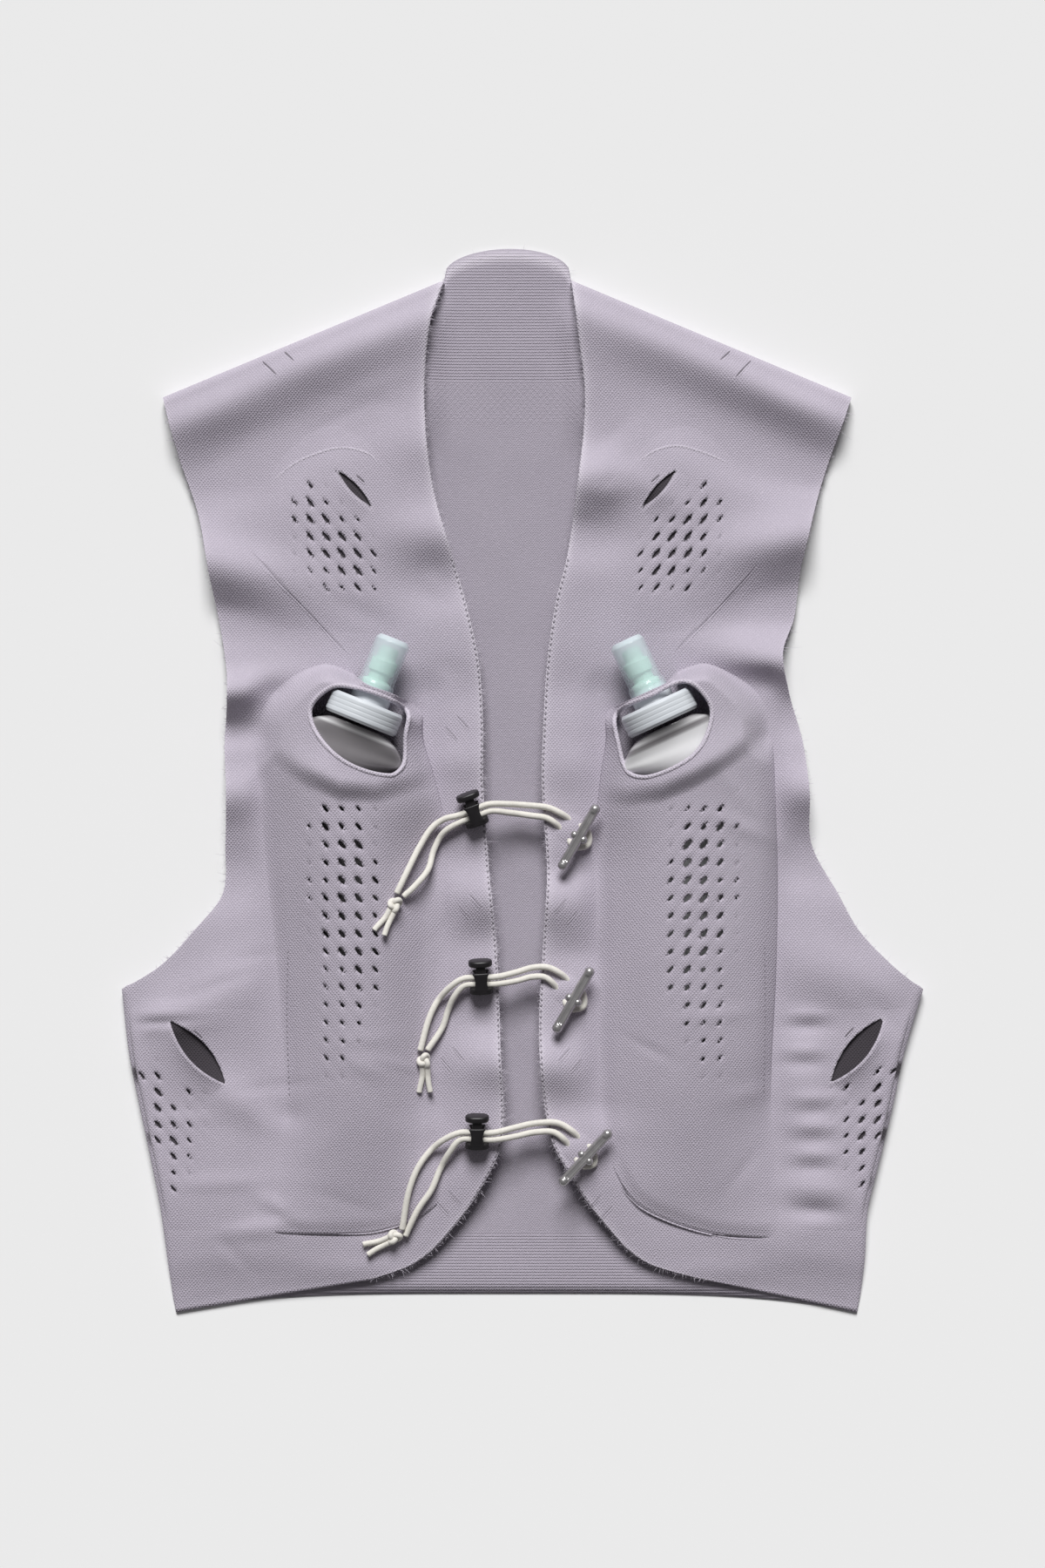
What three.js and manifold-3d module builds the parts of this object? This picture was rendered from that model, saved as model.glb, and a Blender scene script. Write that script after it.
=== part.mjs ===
// A knitted running vest laid flat on its back, closed by three cords, with a soft flask in each front pocket.
// Millimetres, +Z up. Right and left are the wearer's, so the right front lies at -X. The neck is at +Y.

import * as THREE from 'three';
import { mergeVertices } from 'three/addons/utils/BufferGeometryUtils.js';
import Module from 'manifold-3d';

const wasm = await Module();
wasm.setup();

// Driving dimensions
const GAP = 0.3;                // between neighbouring pieces
const KNIT = 1.8;               // body knit
const POCKET_KNIT = 1.3;        // pocket layers
const FOLD_RADIUS = 4.5;        // roll of the knit over the shoulder and the side
const EDGE_LIFT = 6.5;          // rise of the fronts towards their raw edges
const EDGE_LIFT_REACH = 48;     // how far back that rise begins
const FOLD_CALM = 14;           // distance from a rolled edge over which wrinkles fade
const BED_BLEND = 24;           // distance over which the front flattens under a pocket
const ARMHOLE_INSET = 5;        // how far the back's armhole stands inside the front's
const NECK_TOP = 335.2;         // top of the back neck
const BACK_HEM = -323;          // back hem at the middle
const FRONT_COLUMNS = 10;
const FRONT_ROWS = { side: 5, armhole: 13 };
const BACK_COLUMNS = 10;
const NECK_SHARES = { from: 0.4, to: 0.6 };   // the neck's part of the back's upper edge
const BACK_ROWS = { side: 3, armhole: 9 };
const CORD = 4;                 // cord diameter
const CORD_SIDES = 8;
const CORD_REST = 0.9;          // air under a cord that lies on the knit
const CORD_SAG_RADIUS = 40;     // how tightly a cord follows hollows in the knit
const CORD_STEPS = 27;
const CAP_RADIUS = 23.8;
const CAP_HALF = 7.2;           // half of the cap's height
const COLLAR_RADIUS = 13;
const COLLAR_TOP = 13;          // from the middle of the cap
const SLEEVE_RADIUS = 12.2;
const SLEEVE_WALL = 1.6;
const SLEEVE_LENGTH = 37;
const TOGGLE_LENGTH = 47;
const TOGGLE_RADIUS = 2.7;
const LOCK_WIDTH = 15;
const LOCK_LENGTH = 14;
const BUTTON_TRAVEL = 3.5;

// The outline: height y, and x on the wearer's right and left.
const SIDE_EDGE = [
  { y: -335, right: -219.5, left: 212 },
  { y: -302, right: -224, left: 216 },
  { y: -269, right: -228.5, left: 218 },
  { y: -236, right: -235, left: 226 },
  { y: -203, right: -242, left: 234 },
  { y: -170, right: -248.5, left: 241 },
  { y: -130, right: -253, left: 253 },
];
const ARMHOLE_EDGE = [
  { y: -130, right: -253, left: 253 },
  { y: -115, right: -229, left: 234 },
  { y: -93, right: -208, left: 213 },
  { y: -70, right: -190, left: 200 },
  { y: -38, right: -188, left: 183 },
  { y: -5, right: -187, left: 181 },
  { y: 28, right: -188.5, left: 177 },
  { y: 60, right: -186, left: 168 },
  { y: 82, right: -188.5, left: 164 },
  { y: 105, right: -192.5, left: 172 },
  { y: 138, right: -198.5, left: 176 },
  { y: 171, right: -205.5, left: 184 },
  { y: 204, right: -216.5, left: 194 },
  { y: 244, right: -227.5, left: 208 },
];
const FRONT_EDGE = [
  { y: -314, right: -97, left: 116 },
  { y: -303, right: -68, left: 79 },
  { y: -280, right: -43.5, left: 53.5 },
  { y: -248, right: -22, left: 30.5 },
  { y: -222, right: -12.5, left: 17.5 },
  { y: -165, right: -13.8, left: 10.5 },
  { y: -99, right: -16.5, left: 13 },
  { y: -55, right: -21, left: 15.4 },
  { y: 0, right: -24.8, left: 12.1 },
  { y: 38, right: -24.8, left: 13.2 },
  { y: 77, right: -27.5, left: 15.5 },
  { y: 115, right: -35.8, left: 21 },
  { y: 143, right: -44, left: 28 },
  { y: 187, right: -56.5, left: 34.5 },
  { y: 242, right: -62, left: 39.5 },
  { y: 290, right: -58.5, left: 34.5 },
  { y: 318, right: -50, left: 31 },
];

// Main folds of the fronts: a ridge (rise above 0) or a furrow at x, y, with its reach along and across its line.
const FOLDS = [
  { x: -131, y: 264, rise: 6, along: 95, across: 15, turn: 23 },
  { x: -118, y: 233, rise: -2, along: 80, across: 15, turn: 23 },
  { x: 113, y: 260, rise: 6, along: 95, across: 15, turn: -22 },
  { x: 101, y: 231, rise: -2, along: 80, across: 15, turn: -22 },
  { x: -203, y: 160, rise: -2, along: 42, across: 15, turn: 0 },
  { x: -197, y: 128, rise: 6, along: 42, across: 16, turn: 0 },
  { x: -192, y: 97, rise: -2, along: 42, across: 15, turn: 0 },
  { x: -186, y: 62, rise: 6.5, along: 40, across: 17, turn: 0 },
  { x: -189, y: 32, rise: -2, along: 30, across: 14, turn: 0 },
  { x: -187, y: 1, rise: 5.5, along: 30, across: 17, turn: 0 },
  { x: -190, y: -58, rise: -2, along: 40, across: 20, turn: 0 },
  { x: 193, y: 199, rise: -2, along: 42, across: 15, turn: 0 },
  { x: 180, y: 157, rise: 6.5, along: 42, across: 17, turn: 0 },
  { x: 172, y: 114, rise: -2, along: 42, across: 16, turn: 0 },
  { x: 165, y: 77, rise: 6, along: 40, across: 17, turn: 0 },
  { x: 178, y: 33, rise: -2, along: 30, across: 15, turn: 0 },
  { x: 180, y: -8, rise: 5.5, along: 30, across: 17, turn: 0 },
  { x: 185, y: -46, rise: -2, along: 40, across: 18, turn: 0 },
  { x: -58, y: 155, rise: 3, along: 30, across: 16, turn: 0 },
  { x: 46, y: 190, rise: 3, along: 30, across: 16, turn: 0 },
  { x: -20, y: -72, rise: 3, along: 26, across: 18, turn: 0 },
  { x: -16, y: -176, rise: 3, along: 26, across: 18, turn: 0 },
  { x: 20, y: -76, rise: 3, along: 24, across: 18, turn: 0 },
  { x: 16, y: -178, rise: 3, along: 24, across: 18, turn: 0 },
  { x: -150, y: -328, rise: -2, along: 80, across: 26, turn: -6 },
  { x: 150, y: -330, rise: -2, along: 80, across: 26, turn: 6 },
];

// Flat beds under the pockets: the span in x and y, and the height of the front's middle surface there.
const FLASK_BED = KNIT / 2 + 2 * FOLD_RADIUS;
const CHEST_BED = 13;
const BEDS = [
  { x0: -176, x1: -48, y0: -205, y1: 72, height: FLASK_BED },
  { x0: 40, x1: 168, y0: -205, y1: 72, height: FLASK_BED },
  { x0: -158, x1: -84, y0: 104, y1: 212, height: CHEST_BED },
  { x0: 66, x1: 138, y0: 104, y1: 212, height: CHEST_BED },
];

// Flask pockets: the edges on the front, and the flask's middle line, at each height.
const FLASK_POCKETS = {
  right: {
    edges: [
      { y: -197, outer: -149, inner: -58, middle: -103 },
      { y: -120, outer: -155, inner: -57, middle: -105 },
      { y: -60, outer: -161, inner: -59, middle: -109 },
      { y: -20, outer: -165, inner: -62, middle: -113 },
      { y: 8, outer: -168, inner: -65, middle: -114 },
      { y: 28, outer: -167, inner: -67, middle: -106 },
      { y: 45, outer: -150, inner: -68, middle: -99 },
      { y: 66, outer: -127, inner: -64, middle: -90.5 },
    ],
    mouth: [[-133, 47], [-119.5, 61], [-105, 62], [-83, 54.2], [-71.2, 44.5], [-74.2, 39], [-74, 12],
      [-83, 5.2], [-108.5, 12.4], [-130, 31.5]],
    top: [[-150, 45], [-137, 54], [-121, 65.5], [-104, 66], [-82, 58.2], [-68, 49]],
    cap: { x: -99.2, y: 44.6, lean: 22 },
  },
  left: {
    edges: [
      { y: -197, outer: 157, inner: 50, middle: 103 },
      { y: -120, outer: 160, inner: 49, middle: 104 },
      { y: -60, outer: 161, inner: 49, middle: 105 },
      { y: -20, outer: 160, inner: 50, middle: 105.5 },
      { y: 8, outer: 159, inner: 51, middle: 102 },
      { y: 28, outer: 156, inner: 52, middle: 93.5 },
      { y: 45, outer: 136, inner: 53, middle: 85.7 },
      { y: 66, outer: 114, inner: 52, middle: 76 },
    ],
    mouth: [[58.2, 44], [102.5, 64], [117.7, 49], [115, 30.2], [104.2, 15.8], [79.2, 4.4], [66.2, 7.4],
      [59.7, 33]],
    top: [[136, 45], [122, 54], [103, 68], [80, 58.5], [65, 51.5], [53, 47]],
    cap: { x: 85.7, y: 44.7, lean: -25 },
  },
};
// How far a flask pocket stands out over its bed, at each height.
const POCKET_BULGE = [
  { y: -197, bulge: 0 },
  { y: -189, bulge: 10 },
  { y: -172, bulge: 19 },
  { y: -130, bulge: 26 },
  { y: -60, bulge: 28.5 },
  { y: 0, bulge: 34 },
  { y: 30, bulge: 40 },
  { y: 66, bulge: 42 },
];
// Flask sections from the neck to the welded foot: y of the section's middle, half sizes and axis height.
const FLASK_SECTIONS = [
  { y: 36.2, halfWidth: 19, halfDepth: 18, height: 35 },
  { y: 30, halfWidth: 20, halfDepth: 17, height: 33.5 },
  { y: 18, halfWidth: 26, halfDepth: 14.5, height: 29 },
  { y: 0, halfWidth: 32, halfDepth: 13, height: 26 },
  { y: -50, halfWidth: 35, halfDepth: 12, height: 24 },
  { y: -120, halfWidth: 34, halfDepth: 11, height: 22.5 },
  { y: -165, halfWidth: 30, halfDepth: 7, height: 18.5 },
  { y: -186, halfWidth: 25, halfDepth: 2, height: 14 },
];
const FLASK_SIDES = 12;
const CAP_HEIGHT = FLASK_SECTIONS[0].height;

// Chest and hip pockets: corners on the front (outer low, inner low, inner high, outer high) and slit mouths.
const CHEST_POCKETS = {
  right: {
    corners: [[-150, 118], [-88, 108], [-86, 186], [-152, 190]],
    crown: 22,
    slit: { x: -106.8, y: 185.6, length: 34, width: 8, turn: -47 },
    eyelets: { x: -119, y: 162, turn: -45 },
  },
  left: {
    corners: [[70, 108], [130, 118], [132, 190], [68, 186]],
    crown: 22,
    slit: { x: 86.9, y: 185.6, length: 34, width: 8, turn: 48 },
    eyelets: { x: 99.5, y: 162, turn: 45 },
  },
};
const HIP_POCKETS = {
  right: {
    corners: [[-222, -272], [-184, -262], [-178, -168], [-241, -143]],
    slit: { x: -205, y: -169.5, length: 53, width: 16, turn: -47 },
    eyelets: { x: -218, y: -224, turn: -45 },
  },
  left: {
    corners: [[184, -262], [213, -272], [238, -140], [178, -168]],
    slit: { x: 212.5, y: -168, length: 53, width: 16, turn: 51 },
    eyelets: { x: 210, y: -222, turn: 45 },
  },
};
const POUCH = 1.6;              // how far a chest or hip pocket stands off the front in its middle
const EYELET = { length: 6, width: 3 };
const CHEST_EYELETS = { columns: 3, rows: 4, across: 9.8, down: 10.9 };
const HIP_EYELETS = { columns: 2, rows: 3, across: 11, down: 12 };
const FLASK_EYELETS = { columns: 3, rows: 5, across: 10.3, down: 22.4, top: -30, slant: 45 };

// Closures, from the top: the lock's hole, the toggle's post, the knot, and the two strands of the cord loop.
// The outer and inner strands run from the knot to the lock, the upper and lower ones on to the toggle.
const CLOSURES = [
  {
    lock: { x: -30.5, y: -18.5, turn: 20 },
    toggle: { x: 35.5, y: -33.5, turn: 60 },
    knot: { x: -80, y: -75.5, turn: -118 },
    outer: [[-71.5, -53], [-64.5, -39], [-57, -25.5], [-46.5, -15.5]],
    inner: [[-68, -64.5], [-59.5, -54], [-56, -41], [-52.5, -28.5], [-44.5, -22]],
    upper: [[-17, -15.6], [-6, -15.2], [6, -14.4], [16.5, -15], [25, -19], [33, -24.5], [41, -29.5]],
    lower: [[-16.5, -21.4], [-6, -22], [6, -21], [15, -21.4], [21.5, -25.5], [27.5, -32.5], [33, -39.6]],
    turnPoint: [41.3, -38.2],
  },
  {
    lock: { x: -26, y: -124, turn: 3 },
    toggle: { x: 32, y: -135.8, turn: 60 },
    knot: { x: -62, y: -174.5, turn: -88 },
    outer: [[-59, -148], [-53, -136], [-44, -126.5]],
    inner: [[-50.5, -153.5], [-45, -142], [-40, -132]],
    upper: [[-13, -120.5], [-3, -117.8], [7, -114.8], [16, -115], [24, -119.5], [31, -126], [38, -131.5]],
    lower: [[-12.5, -126.5], [-2.5, -124], [7, -121], [14, -121.4], [19.5, -126], [25, -134], [30, -141.6]],
    turnPoint: [38.3, -140.3],
  },
  {
    lock: { x: -28.5, y: -221.5, turn: 0 },
    toggle: { x: 39.6, y: -235, turn: 47 },
    knot: { x: -81, y: -286, turn: -155 },
    outer: [[-72, -258], [-66, -242], [-57, -231.5], [-45, -223.2]],
    inner: [[-66, -268.5], [-57.5, -256], [-52, -242], [-43, -229.5]],
    upper: [[-15, -217], [-3, -215.5], [10, -213], [22, -213.2], [31, -218.5], [38, -226], [44.5, -231]],
    lower: [[-14.5, -223.5], [-3, -222], [9, -219], [19.5, -219], [26.5, -224.4], [32, -233], [37, -240.4]],
    turnPoint: [45, -239.6],
  },
];

const SIDES = ['right', 'left'];
const BODY_COLOUR = 0xb2a8b2;
const materials = {
  knit: { color: BODY_COLOUR, roughness: 0.95, metalness: 0 },
  pocket: { color: 0xb8aeb8, roughness: 0.95, metalness: 0 },
  film: { color: 0x8a878c, roughness: 0.25, metalness: 0 },
  cap: { color: 0xc4c6cb, roughness: 0.35, metalness: 0 },
  sleeve: { color: 0xc9dde0, roughness: 0.2, metalness: 0 },
  valve: { color: 0xa6d8c0, roughness: 0.4, metalness: 0 },
  steel: { color: 0xc8c6c6, roughness: 0.2, metalness: 1 },
  lock: { color: 0x1b191b, roughness: 0.5, metalness: 0 },
  cord: { color: 0xe4e1da, roughness: 0.9, metalness: 0 },
};

const vest = new THREE.Group();

function addPiece(name, geometry, finish, parent = vest) {
  const mesh = new THREE.Mesh(geometry, new THREE.MeshStandardMaterial(materials[finish]));
  mesh.name = name;
  parent.add(mesh);
  return mesh;
}

// Value of one column of a table at height y: a smooth curve through the rows, each with the slope of its chord.
function atHeight(rows, column, y) {
  const last = rows.length - 1;
  let k = 0;
  while (k < last - 1 && y > rows[k + 1].y) k += 1;
  const slope = (i) => {
    const before = rows[Math.max(i - 1, 0)];
    const after = rows[Math.min(i + 1, last)];
    return (after[column] - before[column]) / (after.y - before.y);
  };
  const low = rows[k];
  const high = rows[k + 1];
  const span = high.y - low.y;
  const t = THREE.MathUtils.clamp((y - low.y) / span, 0, 1);
  const u = 1 - t;
  const bend = t * u * span * (u * slope(k) - t * slope(k + 1));
  return low[column] * u * u * (1 + 2 * t) + high[column] * t * t * (1 + 2 * u) + bend;
}

function edgePoint(rows, side, t) {
  const y = THREE.MathUtils.lerp(rows[0].y, rows[rows.length - 1].y, t);
  return [atHeight(rows, side, y), y];
}

// Distance from a point to the rolled edges of one side: its side fold and its shoulder line.
function foldLine(side) {
  const tip = ARMHOLE_EDGE[ARMHOLE_EDGE.length - 1];
  const neck = FRONT_EDGE[FRONT_EDGE.length - 1];
  return {
    side: SIDE_EDGE.map((row) => [row[side], row.y]),
    shoulder: [[tip[side], tip.y], [neck[side], neck.y]],
  };
}
const FOLD_LINES = { right: foldLine('right'), left: foldLine('left') };

function distanceToPath(x, y, path) {
  let best = Infinity;
  for (let i = 1; i < path.length; i += 1) {
    const [ax, ay] = path[i - 1];
    const [bx, by] = path[i];
    const along = ((x - ax) * (bx - ax) + (y - ay) * (by - ay)) / ((bx - ax) ** 2 + (by - ay) ** 2);
    const t = THREE.MathUtils.clamp(along, 0, 1);
    best = Math.min(best, Math.hypot(x - ax - t * (bx - ax), y - ay - t * (by - ay)));
  }
  return best;
}

function distanceToFold(x, y, side) {
  const line = FOLD_LINES[side];
  return Math.min(distanceToPath(x, y, line.side), distanceToPath(x, y, line.shoulder));
}

// Height of a quarter-round roll at a distance from its outer edge.
function roll(distance) {
  const inward = Math.min(distance / FOLD_RADIUS, 1);
  return FOLD_RADIUS * Math.sqrt(1 - (1 - inward) ** 2);
}

function foldHeight(x, y) {
  let sum = 0;
  for (const fold of FOLDS) {
    const turn = THREE.MathUtils.degToRad(fold.turn);
    const along = (x - fold.x) * Math.cos(turn) + (y - fold.y) * Math.sin(turn);
    const across = (y - fold.y) * Math.cos(turn) - (x - fold.x) * Math.sin(turn);
    sum += fold.rise * Math.exp(-((along / fold.along) ** 2) - (across / fold.across) ** 2);
  }
  return sum;
}

// Middle surface of a front: it rolls up from the shoulder and side, lifts to its raw edge, carries the folds,
// and lies flat under the pockets.
function frontHeight(x, y, side) {
  const distance = distanceToFold(x, y, side);
  const calm = 1 - Math.exp(-((distance / FOLD_CALM) ** 2));
  const fromEdge = Math.abs(x - atHeight(FRONT_EDGE, side, y));
  const lift = EDGE_LIFT * Math.exp(-((fromEdge / EDGE_LIFT_REACH) ** 2));
  const base = KNIT / 2 + FOLD_RADIUS + roll(distance);
  let height = base + calm * (lift + foldHeight(x, y));
  for (const bed of BEDS) {
    const away = Math.hypot(Math.max(bed.x0 - x, x - bed.x1, 0), Math.max(bed.y0 - y, y - bed.y1, 0));
    const share = 1 - THREE.MathUtils.smoothstep(away, 0, BED_BLEND);
    height = THREE.MathUtils.lerp(height, Math.min(bed.height, base + bed.height - FLASK_BED), share);
  }
  return height;
}

function backHeight(x, y) {
  const distance = Math.min(distanceToFold(x, y, 'right'), distanceToFold(x, y, 'left'));
  return KNIT / 2 + FOLD_RADIUS - roll(distance);
}

// A patch between four edges: bottom and top run with u, start and end run with v.
function blendedPatch(bottom, top, start, end, u, v) {
  const corners = [bottom(0), bottom(1), top(0), top(1)];
  return [0, 1].map((axis) => {
    const ruled = (1 - v) * bottom(u)[axis] + v * top(u)[axis] + (1 - u) * start(v)[axis] + u * end(v)[axis];
    const low = (1 - u) * corners[0][axis] + u * corners[1][axis];
    const high = (1 - u) * corners[2][axis] + u * corners[3][axis];
    return ruled - (1 - v) * low - v * high;
  });
}

function lineBetween(a, b) {
  return (t) => [THREE.MathUtils.lerp(a[0], b[0], t), THREE.MathUtils.lerp(a[1], b[1], t)];
}

function gridNormal(grid, i, j) {
  const pick = (a, b) => grid[THREE.MathUtils.clamp(a, 0, grid.length - 1)][
    THREE.MathUtils.clamp(b, 0, grid[0].length - 1)].clone();
  const alongRow = pick(i, j + 1).sub(pick(i, j - 1));
  const alongColumn = pick(i + 1, j).sub(pick(i - 1, j));
  return alongRow.cross(alongColumn).normalize();
}

// A wall of even thickness around a grid of points whose rows run with v and columns with u.
// edgeNormal may give the normal at a grid point where the wall ends in a roll.
function wallFromGrid(grid, thickness, edgeNormal = () => null) {
  const rows = grid.length;
  const columns = grid[0].length;
  const positions = [];
  const faces = [];
  for (const side of [1, -1]) {
    for (let i = 0; i < rows; i += 1) {
      for (let j = 0; j < columns; j += 1) {
        const normal = edgeNormal(i, j) ?? gridNormal(grid, i, j);
        const point = grid[i][j].clone().addScaledVector(normal, side * thickness / 2);
        positions.push(point.x, point.y, point.z);
      }
    }
  }
  const upper = (i, j) => i * columns + j;
  const lower = (i, j) => rows * columns + i * columns + j;
  const quad = (a, b, c, d) => faces.push(a, b, c, a, c, d);
  for (let i = 0; i + 1 < rows; i += 1) {
    for (let j = 0; j + 1 < columns; j += 1) {
      quad(upper(i, j), upper(i, j + 1), upper(i + 1, j + 1), upper(i + 1, j));
      quad(lower(i, j), lower(i + 1, j), lower(i + 1, j + 1), lower(i, j + 1));
    }
  }
  for (let j = 0; j + 1 < columns; j += 1) {
    quad(upper(0, j), lower(0, j), lower(0, j + 1), upper(0, j + 1));
    quad(upper(rows - 1, j), upper(rows - 1, j + 1), lower(rows - 1, j + 1), lower(rows - 1, j));
  }
  for (let i = 0; i + 1 < rows; i += 1) {
    quad(upper(i, 0), upper(i + 1, 0), lower(i + 1, 0), lower(i, 0));
    quad(upper(i, columns - 1), lower(i, columns - 1), lower(i + 1, columns - 1), upper(i + 1, columns - 1));
  }
  return indexedGeometry(positions, faces);
}

function indexedGeometry(positions, faces) {
  const geometry = new THREE.BufferGeometry();
  geometry.setAttribute('position', new THREE.Float32BufferAttribute(positions, 3));
  geometry.setIndex(faces);
  return geometry;
}

function solidOf(geometry) {
  const bare = geometry.clone();
  bare.deleteAttribute('normal');
  bare.deleteAttribute('uv');
  const merged = mergeVertices(bare, 1e-4);
  return new wasm.Manifold(new wasm.Mesh({
    numProp: 3,
    vertProperties: new Float32Array(merged.attributes.position.array),
    triVerts: new Uint32Array(merged.index.array),
  }));
}

function geometryOf(solid) {
  const mesh = solid.getMesh();
  return indexedGeometry(Array.from(mesh.vertProperties), Array.from(mesh.triVerts));
}

function cutAway(geometry, cutters) {
  let solid = solidOf(geometry);
  for (const cutter of cutters) solid = solid.subtract(solidOf(cutter));
  return geometryOf(solid);
}

function joined(geometries) {
  return geometryOf(geometries.map(solidOf).reduce((whole, part) => whole.add(part)));
}

// An upright prism over an outline, tall enough to pass through every layer of the vest.
const CUT_HEIGHT = 90;
function prism(outline) {
  const shape = new THREE.Shape(outline.map(([x, y]) => new THREE.Vector2(x, y)));
  return new THREE.ExtrudeGeometry(shape, { depth: CUT_HEIGHT, bevelEnabled: false });
}

function turned(x, y, turn) {
  const angle = THREE.MathUtils.degToRad(turn);
  return [x * Math.cos(angle) - y * Math.sin(angle), x * Math.sin(angle) + y * Math.cos(angle)];
}

// A pointed slit of the given length and width, centred at x, y.
function slitOutline({ x, y, length, width, turn }, points = 3) {
  const outline = [];
  for (const side of [1, -1]) {
    for (let k = 0; k < points; k += 1) {
      const t = k / points;
      const along = side * (0.5 - t) * length;
      const across = -side * 0.5 * width * Math.sin(Math.PI * t);
      const [dx, dy] = turned(along, across, turn);
      outline.push([x + dx, y + dy]);
    }
  }
  return outline.reverse();
}

// A field of slanted eyelets centred at x, y.
function eyeletPrisms(centre, { columns, rows, across, down }) {
  const cutters = [];
  for (let i = 0; i < rows; i += 1) {
    for (let j = 0; j < columns; j += 1) {
      const x = centre.x + (j - (columns - 1) / 2) * across;
      const y = centre.y + ((rows - 1) / 2 - i) * down;
      cutters.push(prism(slitOutline({ x, y, ...EYELET, turn: centre.turn }, 2)));
    }
  }
  return cutters;
}

// Spacing along a panel: even steps, with close steps in the roll at the end where t is 1.
const ROLL_STEPS = [0.28, 1];
function rolledSpacing(steps, length) {
  const first = FOLD_RADIUS / length;
  const even = Array.from({ length: steps }, (_, k) => (1 - first) * k / steps);
  return [...even, ...[...ROLL_STEPS].reverse().map((share) => 1 - first * share), 1];
}

// Back panel and fronts
const UNDERARM = 0.29;          // share of a panel's length below the underarm
const FRONT_WIDTH = 185;
const BACK_HALF_WIDTH = 215;
const ARMHOLE_LENGTH = 395;
function panelRows({ side, armhole }) {
  return [
    ...Array.from({ length: side }, (_, k) => UNDERARM * k / side),
    ...rolledSpacing(armhole, ARMHOLE_LENGTH).map((t) => UNDERARM + (1 - UNDERARM) * t),
  ];
}

function outerEdge(side, v, inset = 0) {
  if (v <= UNDERARM) return edgePoint(SIDE_EDGE, side, v / UNDERARM);
  const t = (v - UNDERARM) / (1 - UNDERARM);
  const [x, y] = edgePoint(ARMHOLE_EDGE, side, t);
  return [x - Math.sign(x) * inset * Math.sin(Math.PI * t), y];
}

function outwardNormal(side, onShoulder) {
  const path = onShoulder ? FOLD_LINES[side].shoulder : FOLD_LINES[side].side;
  const [ax, ay] = path[0];
  const [bx, by] = path[path.length - 1];
  const normal = new THREE.Vector3(by - ay, ax - bx, 0).normalize();
  const outward = onShoulder ? normal.y : normal.x * (side === 'left' ? 1 : -1);
  return outward < 0 ? normal.negate() : normal;
}

function frontPanel(side) {
  const hem = lineBetween([SIDE_EDGE[0][side], SIDE_EDGE[0].y], [FRONT_EDGE[0][side], FRONT_EDGE[0].y]);
  const shoulder = lineBetween(...FOLD_LINES[side].shoulder);
  const outer = (v) => outerEdge(side, v);
  const inner = (v) => edgePoint(FRONT_EDGE, side, v);
  const columns = rolledSpacing(FRONT_COLUMNS, FRONT_WIDTH).map((t) => 1 - t).reverse();
  const order = side === 'right' ? columns : [...columns].reverse();
  const rows = panelRows(FRONT_ROWS);
  const grid = rows.map((v) => order.map((u) => {
    const [x, y] = blendedPatch(hem, shoulder, outer, inner, u, v);
    const onFold = v === 1 || (u === 0 && v <= UNDERARM);
    const z = onFold ? KNIT / 2 + FOLD_RADIUS + GAP / 2 : frontHeight(x, y, side);
    return new THREE.Vector3(x, y, z);
  }));
  const edgeNormal = (i, j) => {
    if (rows[i] === 1) return outwardNormal(side, true);
    if (order[j] === 0 && rows[i] <= UNDERARM) return outwardNormal(side, false);
    return null;
  };
  return wallFromGrid(grid, KNIT, edgeNormal);
}

const NECK_STEPS = [0, 0.15, 0.3, 0.5, 0.7, 0.85, 1];
function neckLine(u) {
  const [rightTip, rightNeck] = FOLD_LINES.right.shoulder;
  const [leftTip, leftNeck] = FOLD_LINES.left.shoulder;
  const { from, to } = NECK_SHARES;
  if (u <= from) return lineBetween(rightTip, rightNeck)(u / from);
  if (u >= to) return lineBetween(leftNeck, leftTip)((u - to) / (1 - to));
  const t = (u - from) / (to - from);
  const [x, y] = lineBetween(rightNeck, leftNeck)(t);
  return [x, y + (NECK_TOP - y) * Math.sqrt(Math.sin(Math.PI * t))];
}

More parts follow.
